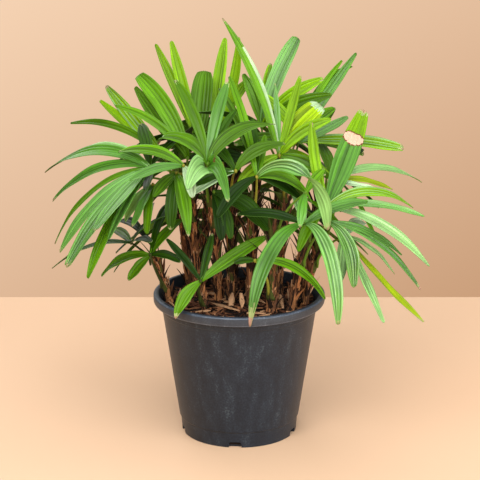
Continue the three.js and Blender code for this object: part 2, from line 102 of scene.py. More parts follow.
# A cane: foot on the soil (x, y), top (x, y, z), radius at foot and at top.
CANES = [
    ((-82, -8), (-99, -22, 220), (4.5, 3.2)),
    ((-60, 45), (-74, 34, 292), (5.6, 4.2)),
    ((-50, 20), (-56, 2, 300), (5.4, 4.2)),
    ((-44, 67), (-36, 64, 298), (5.4, 4.2)),
    ((-24, 2), (-33, -24, 298), (5.6, 4.4)),
    ((-10, -12), (-12, -8, 304), (5, 4)),
    ((13, -27), (15, -36, 288), (6, 4.6)),
    ((38, -46), (38, -52, 258), (6.2, 4.6)),
    ((62, -39), (78, -44, 256), (6.4, 4.8)),
    ((77, -20), (96, -18, 246), (5.4, 4.2)),
    ((-41, -46), (-43, -58, 186), (4, 3)),
    ((15, 38), (22, 42, 306), (5.6, 4.2)),
    ((46, 10), (56, 6, 296), (5.6, 4.4)),
    ((-8, 74), (-10, 90, 292), (5.4, 4.2)),
    ((36, 70), (50, 90, 286), (5.4, 4.2)),
    ((72, 28), (96, 42, 276), (5.4, 4.2)),
]

# A frond: its cane, its hub, its fan's face (azimuth, tilt), its leaflets as
# (turn, length, width, sag, lift), and the rest of the fan as
# (first, last, count, length, width, sag).
FRONDS = [
    (4, (-35, -75, 346), (-95, 58), [
      (-25, 85, 17, 85, 15), (-12, 115, 13, 40, 15), (5, 105, 14, 35, 15),
      (12, 75, 10, 40, 15), (20, 100, 19, 80, 20), (-130, 65, 30, 60, 70),
      (100, 90, 21, 80, 70)], None),
    (12, (46, -25, 344), (-90, 72), [
      (-10, 175, 12, 30, 10), (25, 80, 26, 30, 5), (15, 95, 11, 0, 5),
      (-2, 85, 8, 15, 5), (-10, 70, 11, 20, 0)], (-95, 95, 4, 75, 12, 45)),
    (6, (20, -60, 327), (-75, 52), [
      (50, 140, 18, 150, 55), (80, 80, 16, 90, 25), (5, 75, 11, 10, 5),
      (20, 60, 10, 5, 0), (-5, 135, 10, 40, 10), (-2, 140, 10, 30, 10),
      (105, 60, 14, 45, 10)], (-110, -50, 2, 70, 13, 50)),
    (8, (100, -60, 292), (-75, 45), [
      (-10, 100, 14, -30, 10), (30, 140, 27, 0, 5), (60, 120, 15, 75, 20),
      (85, 120, 10, 35, 10), (115, 140, 14, 50, 25)], (-120, -60, 3, 66, 12, 55)),
    (7, (73, -90, 280), (-85, 35), [
      (155, 160, 17, 115, 55), (-130, 165, 18, 95, 40)], (-60, 60, 3, 80, 13, 40)),
    (2, (-101, -60, 339), (-140, 40), [
      (180, 155, 25, 35, 20), (-155, 145, 22, 45, 20), (165, 115, 22, 15, 20),
      (-85, 165, 19, 65, 30), (-105, 145, 17, 60, 25), (175, 150, 19, 35, 10),
      (-75, 135, 11, 55, 25), (165, 105, 14, 20, 10), (-130, 155, 12, 60, 20)],
      (-40, 40, 3, 100, 14, 45)),
    (10, (-44, -75, 208), (-95, 55), [
      (45, 95, 16, 15, 5), (-130, 55, 16, 55, 20), (10, 60, 10, 0, 0),
      (-35, 65, 9, 15, 10)], None),
    (8, (102, -80, 280), (-60, 40), [
      (170, 90, 20, 100, 35), (115, 95, 13, 40, 15), (125, 135, 10, 50, 15)], None),
    (4, (-62, -85, 346), (-120, 35), [
      (-70, 90, 16, 55, 15), (-125, 65, 17, 40, 20)], (70, 130, 2, 45, 11, 60)),
    (2, (-71, -62, 332), (-95, 40), [
      (160, 100, 16, 55, 35)], (-175, -125, 2, 70, 13, 60)),
    (5, (-4, -60, 334), (-75, 45), [
      (35, 70, 15, 70, 25), (-105, 70, 11, 30, 10)], (-80, -20, 2, 76, 13, 50)),
    (2, (-59, -35, 343), (-105, 62), [
      (-22, 130, 21, 40, 10), (-45, 120, 15, -5, -10), (-35, 115, 10, 50, 15)],
      (10, 70, 2, 90, 14, 40)),
    (1, (-84, -30, 340), (-130, 55), [
      (-60, 145, 16, 0, 5), (-65, 140, 11, 5, 5), (-60, 160, 9, 50, 20)],
      (-35, 35, 3, 110, 15, 40)),
    (9, (109, -20, 314), (-60, 35), [
      (75, 140, 14, 55, 15), (95, 80, 10, 35, 10), (125, 50, 8, 0, 10)],
      (-60, 45, 4, 90, 14, 40)),
    (12, (70, 20, 350), (-70, 40), [
      (90, 135, 18, 20, 5), (75, 70, 12, -5, 10)], (-70, 40, 3, 80, 14, 40)),
    (9, (122, -50, 255), (-30, 40), [
      (-170, 140, 12, -10, 0), (-150, 125, 15, 5, 0), (120, 100, 12, 35, 0)],
      (-110, 70, 4, 76, 13, 45)),
    (5, (-32, 50, 348), (-90, 72), [
      (5, 125, 15, 15, 0), (30, 125, 12, -30, 5), (20, 90, 15, 30, 0)],
      (-45, -15, 2, 80, 13, 40)),
    (3, (-48, 25, 348), (-100, 72), [
      (-25, 130, 12, 5, 0), (-20, 125, 14, -5, 0), (0, 90, 26, 35, 10)], None),
    (11, (27, 55, 359), (-90, 75), [
      (10, 120, 19, 30, 5), (5, 80, 12, 15, 0), (-5, 80, 13, 20, 0),
      (-10, 70, 13, 25, 0)], (30, 80, 3, 96, 14, 40)),
    (12, (68, 62, 340), (-70, 70), [
      (40, 140, 12, 5, 0), (20, 155, 10, 65, 5), (25, 125, 8, 30, 5),
      (65, 65, 12, -20, 5)], (85, 120, 2, 90, 13, 45)),
    (0, (-103, -40, 229), (-110, 50), [
      (-90, 70, 14, 65, 15), (-140, 40, 13, 25, 5), (70, 40, 11, 60, 15),
      (10, 70, 13, 35, -5), (-5, 135, 12, 65, 0)], None),
    (0, (-127, -10, 235), (170, 35), [
      (-150, 140, 16, 40, 30), (-110, 115, 12, 15, 15)], (-40, 40, 3, 60, 11, 40)),
    (0, (-111, 0, 238), (-150, 45), [
      (-70, 105, 12, 45, 10), (-45, 115, 12, 50, 5)], None),
    (2, (-98, -60, 318), (-140, 50), [
      (-155, 55, 18, 40, 15), (160, 60, 14, 25, 20), (150, 60, 12, 55, 10)], None),
    (7, (75, -80, 313), (-80, 50), [
      (-150, 50, 11, 65, 35), (30, 45, 11, 30, -5)], None),
    (7, (18, -70, 231), (-80, 50), [
      (90, 100, 13, 75, 20), (-75, 25, 9, 40, 10)], None),
    (4, (-29, -50, 307), (-60, 45), [
      (125, 80, 24, 50, 15)], (-170, 170, 2, 60, 13, 50)),
]

# The far side of the clump: (count, from, to, reach, height, tilt), azimuths in degrees.
BACK_RINGS = [(6, 12, 172, 104, 312, 46), (2, 70, 125, 84, 345, 50), (3, 50, 130, 100, 246, 40)]
BACK_FAN = {
    "count": 8, "spread": 250, "length": 122, "width": 15, "sag": 45, "lift": 12, "scatter": 9,
}

# The source's random numbers.
SEED = 7
LEHMER_FACTOR = 16807
LEHMER_MODULUS = 2147483647

# ---- Looks of the leaflets

# One word per leaflet of each frond, the listed ones first. The first letter is the shade. The
# others are: t dry tip, T long dry tip, g ragged end, x one split, X two splits, p pointed, e
# with an even taper, u wide to its end, k like a kite, j toothed like a saw at its end, w wavy,
# d dead patch, n nick in one edge, r rolled, o end bends down, z folded end in painted
# highlight, a brighter outer third, i stripes of painted sheen, l one side in painted highlight.
# Besides the leaflets' own colours, young yellow-green to old dark green, the shades hold
# painted light: s is painted sheen and v painted highlight on whole leaflets, k is partly
# painted shade on leaflets deep in the clump, and y is partly painted light shining through the
# leaflet.
SHADES = {
    "y": "yellow", "b": "bright", "f": "fresh", "m": "mid", "d": "deep", "k": "dark",
    "c": "cool", "h": "pale", "s": "satin", "v": "silver", "o": "olive",
}
LOOKS = [
    "fuoz m cg d m sk ckn", "fpl yuoz b hp f b b b m", "hir f d f f f k k k",
    "b cedaj bi hi sip f f m", "hi cpT k s c", "hgx hx hXg c c f s h m d d k", "f fpT d k",
    "ci h ht", "f c m v", "fp d m", "mp vp d d", "fu m f h k", "bgi bg m m k b",
    "s o v m b m d", "bui h m b f", "o s s s h f v", "b b b d m", "b b mu", "hu b f f b m",
    "c m f m m m", "m m d f d", "d m d d d", "k d", "sg hgt m", "c f", "f d", "dwu k d",
]
# Shades of the leaflets without a word in LOOKS, mostly deep and dark: partly the old leaflets'
# own colour, partly painted shade inside the clump.
BACK_SHADES = "mdkmdfkd"

# How much wider than packed the leaflets are that FRONDS doesn't list one by one.
FULLER = 1.14

LEAF_ROWS = 26
LEAF_THICKNESS = 0.4
RIB_WIDTH = 4.2

# Where the strips of a rib begin, across it, and how often a whole rib is plain, lighter or
# darker, a tone that differs at random.
RIB_COLUMNS = (0, 0.09, 0.4, 0.6, 0.91)
RIB_TONES = {"leaf_": 6, "edge_": 2, "vein_": 1}

# Seeds of the random numbers. A cane and a frond each add their own number.
MULCH_SEED = 11
CANE_SEED = 100
FROND_SEED = 500

# ---- Vectors

UP = np.array([0.0, 0.0, 1.0])


def toward(azimuth, elevation=0.0):
    a = math.radians(azimuth)
    e = math.radians(elevation)
    return np.array([math.cos(a) * math.cos(e), math.sin(a) * math.cos(e), math.sin(e)])


def unit(v):
    """v, or each of the vectors in v, at length one."""
    return v / np.linalg.norm(v, axis=-1, keepdims=True)


def lerp(a, b, t):
    return a + (b - a) * t


def square_to(v, way):
    """v, or each of its vectors, without its part along way, at length one."""
    return unit(v - way * (v * way).sum(axis=-1, keepdims=True))


def walk(start, strides):
    """Points from start on, each a stride from the one before."""
    return start + np.concatenate([[[0, 0, 0]], np.cumsum(strides, axis=0)])


def bezier(start, bend, end, steps):
    """Points from start to end on a curve that is drawn towards bend."""
    t = np.linspace(0, 1, steps)[:, None]
    return (1 - t) ** 2 * start + 2 * t * (1 - t) * bend + t * t * end


def circle(sides):
    """Cosines and sines at even steps round a circle."""
    turns = np.arange(sides) * 2 * math.pi / sides
    return np.cos(turns), np.sin(turns)


def scatter(rng, low, high, *shape):
    """An array of random numbers from low to high."""
    drawn = [rng.uniform(low, high) for _ in range(math.prod(shape))]
    return np.array(drawn).reshape(shape)


# ---- Materials


def linear(colour):
    """A colour in hexadecimal red, green and blue, made linear by the sRGB curve."""
    parts = [int(colour[i:i + 2], 16) / 255 for i in (0, 2, 4)]
    return [p / 12.92 if p <= 0.04045 else ((p + 0.055) / 1.055) ** 2.4 for p in parts] + [1.0]


def shaded(colour, factor):
    """A linear colour made lighter or darker."""
    return [min(1.0, part * factor) for part in colour[:3]] + [1.0]


MATERIALS = {}


class Finish:
    """A material and short calls to add nodes to it."""

    def __init__(self, name, roughness, specular):
        material = bpy.data.materials.new(name)
        material.use_nodes = True
        MATERIALS[name] = material
        self.tree = material.node_tree
        self.shader = self.tree.nodes["Principled BSDF"]
        self.shader.inputs["Roughness"].default_value = roughness
        self.shader.inputs["Specular IOR Level"].default_value = specular

    def node(self, kind, **links):
        """A new node. Each keyword names an input, and gives an output to link or a value."""
        made = self.tree.nodes.new(kind)
        for name, value in links.items():
            socket = made.inputs[name.replace("_", " ")]
            if isinstance(value, bpy.types.NodeSocket):
                self.tree.links.new(value, socket)
            else:
                socket.default_value = value
        return made

    def noise(self, scale, detail, stretch=(1, 1, 1), grain=False):
        """Noise along the mesh's grain, or in the object's metres."""
        if grain:
            source = self.node("ShaderNodeUVMap")
            source.uv_map = "grain"
        else:
            source = self.node("ShaderNodeTexCoord")
        vector = source.outputs["UV" if grain else "Object"]
        place = self.node("ShaderNodeMapping", Vector=vector, Scale=stretch).outputs["Vector"]
        made = self.node("ShaderNodeTexNoise", Vector=place, Scale=scale, Detail=detail)
        return made.outputs["Fac"]

    def mean(self, a, b, share):
        return self.node("ShaderNodeMix", Factor=share, A=a, B=b).outputs["Result"]

    def colours(self, factor, stops):
        """Base colour from a factor, by stops of (place, linear colour)."""
        ramp = self.node("ShaderNodeValToRGB", Fac=factor)
        elements = ramp.color_ramp.elements
        while len(elements) < len(stops):
            elements.new(0.5)
        for element, (place, colour) in zip(elements, stops):
            element.position = place
            element.color = colour
        self.tree.links.new(ramp.outputs["Color"], self.shader.inputs["Base Color"])

    def spread(self, factor, base, spread, low, high):
        """Base colour from darker to lighter than base, from low to high of the factor."""
        self.colours(factor, [
            (low, shaded(base, 1 - spread)), (0.5, base), (high, shaded(base, 1 + spread))])

    def rough(self, factor, low, high):
        made = self.node("ShaderNodeMapRange", Value=factor, To_Min=low, To_Max=high)
        self.tree.links.new(made.outputs["Result"], self.shader.inputs["Roughness"])

    def bump(self, height, distance, strength):
        made = self.node("ShaderNodeBump", Height=height, Distance=distance, Strength=strength)
        self.tree.links.new(made.outputs["Normal"], self.shader.inputs["Normal"])


def leaf_finish(name, colour, roughness, gloss, factor=1.0):
    """Satin leaf: streaks along the blade, faint blotches and fine veins."""
    finish = Finish(name, roughness, gloss)
    streaks = finish.noise(1.0, 3.0, stretch=(2.6, 0.2, 1), grain=True)
    blotches = finish.noise(45.0, 2.0)
    broad = finish.noise(11.0, 1.0)
    mixed = finish.mean(finish.mean(streaks, blotches, share=0.3), broad, share=0.3)
    finish.spread(mixed, shaded(linear(colour), factor), LEAF_SPREAD, low=0.34, high=0.66)
    finish.rough(blotches, roughness - 0.06, roughness + 0.08)
    veins = finish.noise(1.0, 1.0, stretch=(9, 0.1, 1), grain=True)
    finish.bump(veins, distance=0.0002, strength=0.5)


def fibre_finish(name, colour, spread, roughness):
    """Dry fibre: dark and light threads along the grain."""
    finish = Finish(name, roughness, specular=0.25)
    threads = finish.noise(1.0, 4.0, stretch=(5.0, 0.5, 1), grain=True)
    patches = finish.noise(120.0, 3.0)
    finish.spread(finish.mean(threads, patches, share=0.45), linear(colour), spread, 0.3, 0.68)
    finish.rough(patches, roughness - 0.12, roughness + 0.12)
    finish.bump(threads, distance=0.0006, strength=0.8)


def grain_finish(name, colour, spread):
    """Soil and bark chips: grains in the object's own space."""
    finish = Finish(name, roughness=0.9, specular=0.2)
    grains = finish.noise(260.0, 5.0)
    finish.spread(grains, linear(colour), spread, low=0.32, high=0.7)
    finish.rough(grains, 0.8, 0.98)
    finish.bump(grains, distance=0.0008, strength=0.9)


def pot_finish(name, gloss, shades):
    """Black moulded plastic with upright scuffs and specks of dust."""
    finish = Finish(name, 0.42, gloss)
    scuffs = finish.noise(110.0, 4.0, stretch=(1, 1, 0.3))
    specks = finish.noise(520.0, 2.0)
    mixed = finish.mean(scuffs, specks, share=0.5)
    finish.colours(mixed, list(zip((0.34, 0.5, 0.6, 0.68), map(linear, shades))))
    finish.rough(mixed, 0.32, 0.52)
    rings = finish.noise(1.0, 2.0, stretch=(0.5, 0.5, 110.0))
    finish.bump(finish.mean(rings, specks, share=0.25), distance=0.0007, strength=0.6)


# Base colour, roughness and gloss of each shade of leaflet. By these factors the valleys of its
# folds are darker, a painted shade, and its crests and margins lighter, a painted highlight.
# Whole ribs take the same factors at random. All vary along the blade by the spread.
LEAF_COLOURS = {
    "yellow": ("90b400", 0.46, 0.16), "bright": ("72a000", 0.42, 0.2),
    "fresh": ("528300", 0.4, 0.24), "mid": ("436c00", 0.4, 0.2),
    "deep": ("284a00", 0.42, 0.15), "dark": ("173200", 0.44, 0.13),
    "cool": ("477c1c", 0.32, 0.45), "pale": ("568b34", 0.32, 0.5),
    "satin": ("84b266", 0.3, 0.6), "silver": ("a2c290", 0.3, 0.6),
    "olive": ("879d0c", 0.42, 0.2),
}
TONES = {"leaf_": 1.0, "vein_": 0.6, "edge_": 1.35}
LEAF_SPREAD = 0.42

# Base colour, roughness and gloss of the other green parts.
GREENS = {
    "underside_light": ("5a8426", 0.55, 0.15), "underside_dark": ("2a5008", 0.55, 0.12),
    "underside_pale": ("7aa658", 0.5, 0.25), "petiole_green": ("5c7f22", 0.45, 0.2),
    "petiole_yellow": ("8c8a30", 0.5, 0.2), "petiole_dark": ("38441c", 0.5, 0.2),
    "tip_pale": ("9aa86c", 0.55, 0.2),
}
UNDERSIDES = {
    "deep": "underside_dark", "mid": "underside_dark", "cool": "underside_dark",
    "pale": "underside_pale", "satin": "underside_pale", "silver": "underside_pale",
}

# Base colour, spread and roughness of the dry parts.
FIBRES = {
    "dry_tan": ("a88470", 0.3, 0.75), "dry_brown": ("6a4526", 0.35, 0.8),
    "dead_patch": ("d8b49a", 0.12, 0.8), "sheath_brown": ("724b32", 0.35, 0.8),
    "sheath_dark": ("2b1c13", 0.35, 0.8), "sheath_tan": ("b07c50", 0.35, 0.8),
    "sheath_pale": ("cfa680", 0.25, 0.8), "sheath_orange": ("bc7f50", 0.35, 0.8),
    "sheath_olive": ("4a5220", 0.35, 0.8),
}

# Base colour and spread of the mulch.
GRAINS = {
    "mulch_dark": ("1c110b", 0.4), "mulch_brown": ("573524", 0.4),
    "mulch_tan": ("8a5c3e", 0.4), "mulch_pale": ("b98e6a", 0.25),
}

# Gloss of the pot's parts, and their colours from the dark dents to the dust. The rim's colours
# are lighter than the body's, a painted highlight, and those of its two outer edges lighter
# still, a brighter painted highlight.
PLASTICS = {
    "pot_plastic": (0.35, ("141d28", "1c2632", "242f3b", "3e4951")),
    "pot_rim": (0.6, ("202a36", "2a3440", "343e48", "4a525c")),
    "pot_worn": (0.6, ("364252", "445060", "566070", "788290")),
}


def make_materials():
    for name, looks in LEAF_COLOURS.items():
        for tone, factor in TONES.items():
            leaf_finish(tone + name, *looks, factor)
    for finish, table in (
        (leaf_finish, GREENS), (fibre_finish, FIBRES), (grain_finish, GRAINS),
        (pot_finish, PLASTICS),
    ):
        for name, looks in table.items():
            finish(name, *looks)


make_materials()

# ---- Meshes


def add_object(name, data):
    made = bpy.data.objects.new(name, data)
    bpy.context.scene.collection.objects.link(made)
    return made


class Surface:
    """Faces gathered for one piece, each with the name of its material.

    The grain of a point is its place across and along its part, for the textures.
    """

    def __init__(self):
        self.points = []
        self.grain = []
        self.faces = []
        self.materials = []
        self.count = 0

    def add(self, points, faces, materials, grain=None):
        points = np.asarray(points, float).reshape(-1, 3)
        grain = np.zeros((len(points), 2)) if grain is None else np.reshape(grain, (-1, 2))
        if isinstance(materials, str):
            materials = [materials] * len(faces)
        self.points.append(points)
        self.grain.append(grain)
        self.faces.extend([corner + self.count for corner in face] for face in faces)
        self.materials.extend(materials)
        self.count += len(points)

    def make(self, name, replaced, sharp=None):
        """The piece, which rides on the plant's one body. sharp is an angle in degrees."""
        mesh = bpy.data.meshes.new(name)
        mesh.from_pydata((np.concatenate(self.points) * MM).tolist(), [], self.faces)
        names = sorted(set(self.materials))
        for material in names:
            mesh.materials.append(MATERIALS[material])
        place = {material: i for i, material in enumerate(names)}
        mesh.polygons.foreach_set("material_index", [place[m] for m in self.materials])
        mesh.polygons.foreach_set("use_smooth", [True] * len(self.faces))
        corners = np.zeros(len(mesh.loops), dtype=np.int32)
        mesh.loops.foreach_get("vertex_index", corners)
        grain = np.concatenate(self.grain)[corners].astype(np.float32)
        mesh.uv_layers.new(name="grain").data.foreach_set("uv", grain.ravel())
        if sharp is not None:
            mesh.set_sharp_from_angle(angle=math.radians(sharp))
        mesh.update()
        piece = add_object(name, mesh)
        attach(piece, "root")
        if replaced:
            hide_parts(*replaced)
        return piece


@functools.cache
def shell_faces(rows, columns):
    """Faces of a slab over a grid of points: its top, its underside and its rim."""
    count = rows * columns
    index = np.arange(count).reshape(rows, columns)
    a, b = index[:-1, :-1], index[1:, :-1]
    c, d = index[1:, 1:], index[:-1, 1:]
    top = np.stack([a, d, c, b], -1).reshape(-1, 4)
    low = np.stack([a, b, c, d], -1).reshape(-1, 4) + count
    p = np.array([*index[0, :-1], *index[:-1, -1], *index[-1, :0:-1], *index[:0:-1, 0]])
    q = np.roll(p, -1)
    rim = np.stack([q, p, p + count, q + count], -1)
    return np.concatenate([top, low, rim]).tolist()


def add_slab(surface, top, low, materials, grain=None):
    """A closed slab between two grids of points."""
    rows, columns = top.shape[:2]
    points = np.concatenate([top.reshape(-1, 3), low.reshape(-1, 3)])
    if grain is not None:
        grain = np.concatenate([grain.reshape(-1, 2)] * 2)
    surface.add(points, shell_faces(rows, columns), materials, grain)


# Millimetres along a piece to one unit of its grain.
GRAIN_STEP = 10


def grain_of(across, along, length):
    """The grain of a grid of points, from a place across and a share of the length."""
    return np.stack(np.broadcast_arrays(across, along * length / GRAIN_STEP), -1)


def tube_faces(rings, sides):
    faces = []
    for ring in range(rings - 1):
        for side in range(sides):
            a = ring * sides + side
            b = ring * sides + (side + 1) % sides
            faces.append([a, b, b + sides, a + sides])
    faces.append(list(range(sides))[::-1])
    faces.append([(rings - 1) * sides + side for side in range(sides)])
    return faces


# A direction that no tube runs along, from which the corners of its rings are counted.
TUBE_SIDE = toward(17, 9)


def add_tube(surface, path, radii, sides, material, first=TUBE_SIDE):
    """A closed tube along a path of points."""
    path = np.asarray(path, float)
    radii = np.broadcast_to(radii, len(path))
    cosines, sines = circle(sides)
    side = first
    rings = []
    for point, radius, way in zip(path, radii, unit(np.gradient(path, axis=0))):
        side = square_to(side, way)
        around = np.outer(cosines, side) + np.outer(sines, np.cross(way, side))
        rings.append(point + radius * around)
    steps = np.concatenate([[0], np.cumsum(np.linalg.norm(np.diff(path, axis=0), axis=1))])
    grain = grain_of(np.arange(sides), steps[:, None], 1)
    surface.add(np.array(rings), tube_faces(len(path), sides), material, grain)


# ---- Pot

RIM_BOTTOM = POT_HEIGHT - RIM_DEPTH
COLLAR_BOTTOM = RIM_BOTTOM - COLLAR_DEPTH
INSIDE_TOP = COLLAR_RADIUS - POT_WALL + 1
INSIDE_BOTTOM = FOOT_RADIUS - POT_WALL
INSIDE_TOP_HEIGHT = RIM_BOTTOM + 3

# The small slopes at the pot's steps, how far its turns are rounded and its sides.
BEVEL = 1
RIM_BEVEL = 1.5
POT_ROUNDING = 0.8
ROUNDING_POINTS = 4
LONGEST_CUT = 0.45
POT_SIDES = 160
POT_SHARP = 50

# How far the painted highlight on the rim's edges reaches: inwards and up, and down from the
# top.
RIM_HIGHLIGHT_WIDTH = 2
RIM_HIGHLIGHT_HEIGHT = 1.6

# A notch's upper corner, inward and down, and how far its cutter goes below the floor.
NOTCH_CORNER = ((0, 2.5), (1, 0.8), (2.5, 0))
NOTCH_BELOW = 2


def inside_radius(z):
    return lerp(INSIDE_BOTTOM, INSIDE_TOP, (z - POT_FLOOR) / (INSIDE_TOP_HEIGHT - POT_FLOOR))


def rounded(corners):
    """An outline of (radius, z) corners with its turns rounded off."""
    corners = np.array(corners, float)
    outline = [corners[0]]
    for before, here, after in zip(corners, corners[1:], corners[2:]):
        back = before - here
        onward = after - here
        room = LONGEST_CUT * min(np.linalg.norm(back), np.linalg.norm(onward))
        cut = min(POT_ROUNDING, room)
        start = here + unit(back) * cut
        end = here + unit(onward) * cut
        outline.extend(bezier(start, here, end, ROUNDING_POINTS))
    return [*outline, corners[-1]]


def pot_shade(r, z):
    """The rim is lighter than the body, a painted highlight, and its two outer edges carry a
    brighter painted highlight.
    """
    if z < RIM_BOTTOM or r < COLLAR_RADIUS + RIM_BEVEL:
        return "pot_plastic"
    plain = RIM_BOTTOM + RIM_HIGHLIGHT_WIDTH < z < POT_HEIGHT - RIM_HIGHLIGHT_HEIGHT
    return "pot_rim" if plain or r <= RIM_RADIUS - RIM_HIGHLIGHT_WIDTH else "pot_worn"


def add_lathe(surface, outline, sides):
    """The pot's solid of revolution. The outline starts and ends on the axis."""
    inner = np.array(outline[1:-1])
    shades = [pot_shade(*spot) for spot in (inner[1:] + inner[:-1]) / 2 for _ in range(sides)]
    shades += ["pot_plastic"] * (2 * sides)
    cosines, sines = circle(sides)
    rings = [
        np.stack([r * cosines, r * sines, np.full(sides, z)], -1) for r, z in inner]
    faces = tube_faces(len(inner), sides)[:-2]
    count = len(inner) * sides
    for a in range(sides):
        faces.append([(a + 1) % sides, a, count])
    for a in range(sides):
        faces.append([count - sides + a, count - sides + (a + 1) % sides, count + 1])
    ends = [[0, 0, outline[0][1]], [0, 0, outline[-1][1]]]
    surface.add(np.concatenate([*rings, ends]), faces, shades)


def pot_outline():
    """Corners of the pot's section, from its underside round the rim to its floor."""
    body = FOOT_RADIUS + 2 * FOOT_STEP
    neck = COLLAR_RADIUS - COLLAR_STEP
    side = [
        (lerp(body, neck, share), lerp(FOOT_DEPTH + BEVEL, COLLAR_BOTTOM, share))
        for share in (0, 0.33, 0.67, 1)
    ]
    return [
        (0, 0), (FOOT_RADIUS, 0), (FOOT_RADIUS + FOOT_STEP, FOOT_DEPTH), *side,
        (COLLAR_RADIUS, COLLAR_BOTTOM + BEVEL), (COLLAR_RADIUS + BEVEL, RIM_BOTTOM),
        (RIM_RADIUS - BEVEL, RIM_BOTTOM), (RIM_RADIUS, RIM_BOTTOM + 2 * BEVEL),
        (RIM_RADIUS, POT_HEIGHT - RIM_BEVEL), (RIM_RADIUS - RIM_BEVEL, POT_HEIGHT),
        (RIM_RADIUS - LIP_WIDTH, POT_HEIGHT), (INSIDE_TOP, INSIDE_TOP_HEIGHT),
        (INSIDE_BOTTOM, POT_FLOOR), (0, POT_FLOOR),
    ]


def notch_arch():
    """The outline of a notch in the pot's foot, with round upper corners."""
    half = NOTCH["width"] / 2
    right = [(half - x, NOTCH["height"] - z) for x, z in NOTCH_CORNER]
    left = [(-x, z) for x, z in reversed(right)]
    return [(-half, -NOTCH_BELOW), (half, -NOTCH_BELOW), *right, *left]


def make_pot():
    surface = Surface()
    add_lathe(surface, rounded(pot_outline()), POT_SIDES)
    pot = surface.make("pot_shell", ["pot"])
    arch = notch_arch()
    cutter = Surface()
    for i in range(NOTCH["count"]):
        azimuth = NOTCH["first_azimuth"] + i * 360 / NOTCH["count"]
        rings = [
            [toward(azimuth) * (FOOT_RADIUS + reach) + toward(azimuth + 90) * x + UP * z
             for x, z in arch]
            for reach in (-NOTCH["depth"], NOTCH["depth"])
        ]
        cutter.add(np.array(rings), tube_faces(2, len(arch)), "pot_plastic")
    block = cutter.make("pot_cutter", None)
    cut = pot.modifiers.new("notches", "BOOLEAN")
    cut.operation = "DIFFERENCE"
    cut.solver = "EXACT"
    cut.object = block
    graph = bpy.context.evaluated_depsgraph_get()
    shape = bpy.data.meshes.new_from_object(pot.evaluated_get(graph))
    pot.modifiers.remove(cut)
    pot.data = shape
    shape.set_sharp_from_angle(angle=math.radians(POT_SHARP))
    bpy.data.objects.remove(block)


make_pot()

# ---- Mulch


def mulch_height(x, y):
    """The uneven top of the soil."""
    wave = np.sin(0.11 * x + 1.3) * np.cos(0.13 * y) + 0.6 * np.sin(0.31 * x + 0.27 * y)
    fine = np.sin(0.83 * x - 0.5) * np.sin(0.79 * y + 0.4)
    return SOIL_TOP - 0.4 + 0.7 * wave + 0.35 * fine


# A bark chip's section, as shares of half its width and half its thickness.
CHIP_SECTION = ((1, -1), (0.8, 1), (-0.7, 0.8), (-1, -1))


def add_chip(surface, centre, size, heading, tilt, material, rng):
    """A splinter of bark: a tapered, slightly bent block."""
    length, width, thickness = size
    along = toward(heading, tilt)
    across = unit(np.cross(UP, along))
    normal = np.cross(along, across)
    bend = rng.uniform(-0.12, 0.12) * length
    blunt = rng.uniform(0.2, 0.8)
    widest = rng.uniform(-0.2, 0.2)
    sharp = rng.uniform(0.1, 0.7)
    rings = []
    for t, share in ((-0.5, blunt), (widest, 1), (0.5, sharp)):
        spot = centre + along * length * t + normal * bend * (0.25 - t * t)
        half = width / 2 * share
        deep = thickness / 2 * (0.6 + 0.4 * share)
        skew = rng.uniform(-0.2, 0.2) * width
        rings.append([
            spot + across * (skew + half * x) + normal * deep * z for x, z in CHIP_SECTION])
    surface.add(np.array(rings), tube_faces(3, 4), material)


# Large pale pieces, one by one: x, y, length, width, heading, tilt.
LITTER = [
    (-18, -38, 56, 5, -50, 4), (-14, -20, 13, 9, 15, 12), (-9, -27, 16, 8, 80, 62),
    (3, -36, 18, 7, 95, 70), (20, -58, 22, 5, -12, 3), (30, -66, 16, 4, 20, 5),
    (50, -38, 17, 6, 100, 66), (-66, -22, 20, 6, 35, 6), (-42, -52, 18, 5, 5, 5),
    (8, 8, 22, 6, 60, 10), (-28, 14, 24, 6, -30, 8), (70, -4, 16, 5, -60, 10),
    (-72, 10, 14, 5, 80, 30), (24, -12, 18, 5, 140, 8), (60, -56, 14, 5, -35, 8),
    (-58, -60, 12, 5, 60, 4),
]
LITTER_THICKNESS = 1.6
LITTER_HEIGHT = 2.5

# Small chips: how many, how far out their middles and their ends may lie, the lengths
# of short and long ones, the share of short ones, the tilt, and how often each shade is.
CHIPS = 760
CHIP_REACH = 88
CHIP_ROOM = 89
SHORT_CHIP = (4, 13)
LONG_CHIP = (13, 26)
SHORT_SHARE = 0.7
CHIP_TILT = 22
CHIP_SHADES = {"mulch_dark": 8, "mulch_brown": 8, "mulch_tan": 4, "mulch_pale": 1}
MULCH_SIDES = 90
MULCH_RINGS = 30


def add_soil(surface):
    """The body of the mulch, a little clear of the pot's inside."""
    bottom = POT_FLOOR + CLEARANCE
    foot = inside_radius(bottom) - 2 * CLEARANCE
    edge = inside_radius(SOIL_TOP) - 2 * CLEARANCE
    radii = [foot, edge, *np.linspace(edge - 0.5, 1.5, MULCH_RINGS)]
    cosines, sines = circle(MULCH_SIDES)
    x = np.outer(radii, cosines)
    y = np.outer(radii, sines)
    z = mulch_height(x, y)
    z[0] = bottom
    z[1] = SOIL_TOP - 1
    surface.add(np.stack([x, y, z], -1), tube_faces(len(radii), MULCH_SIDES), "mulch_dark")


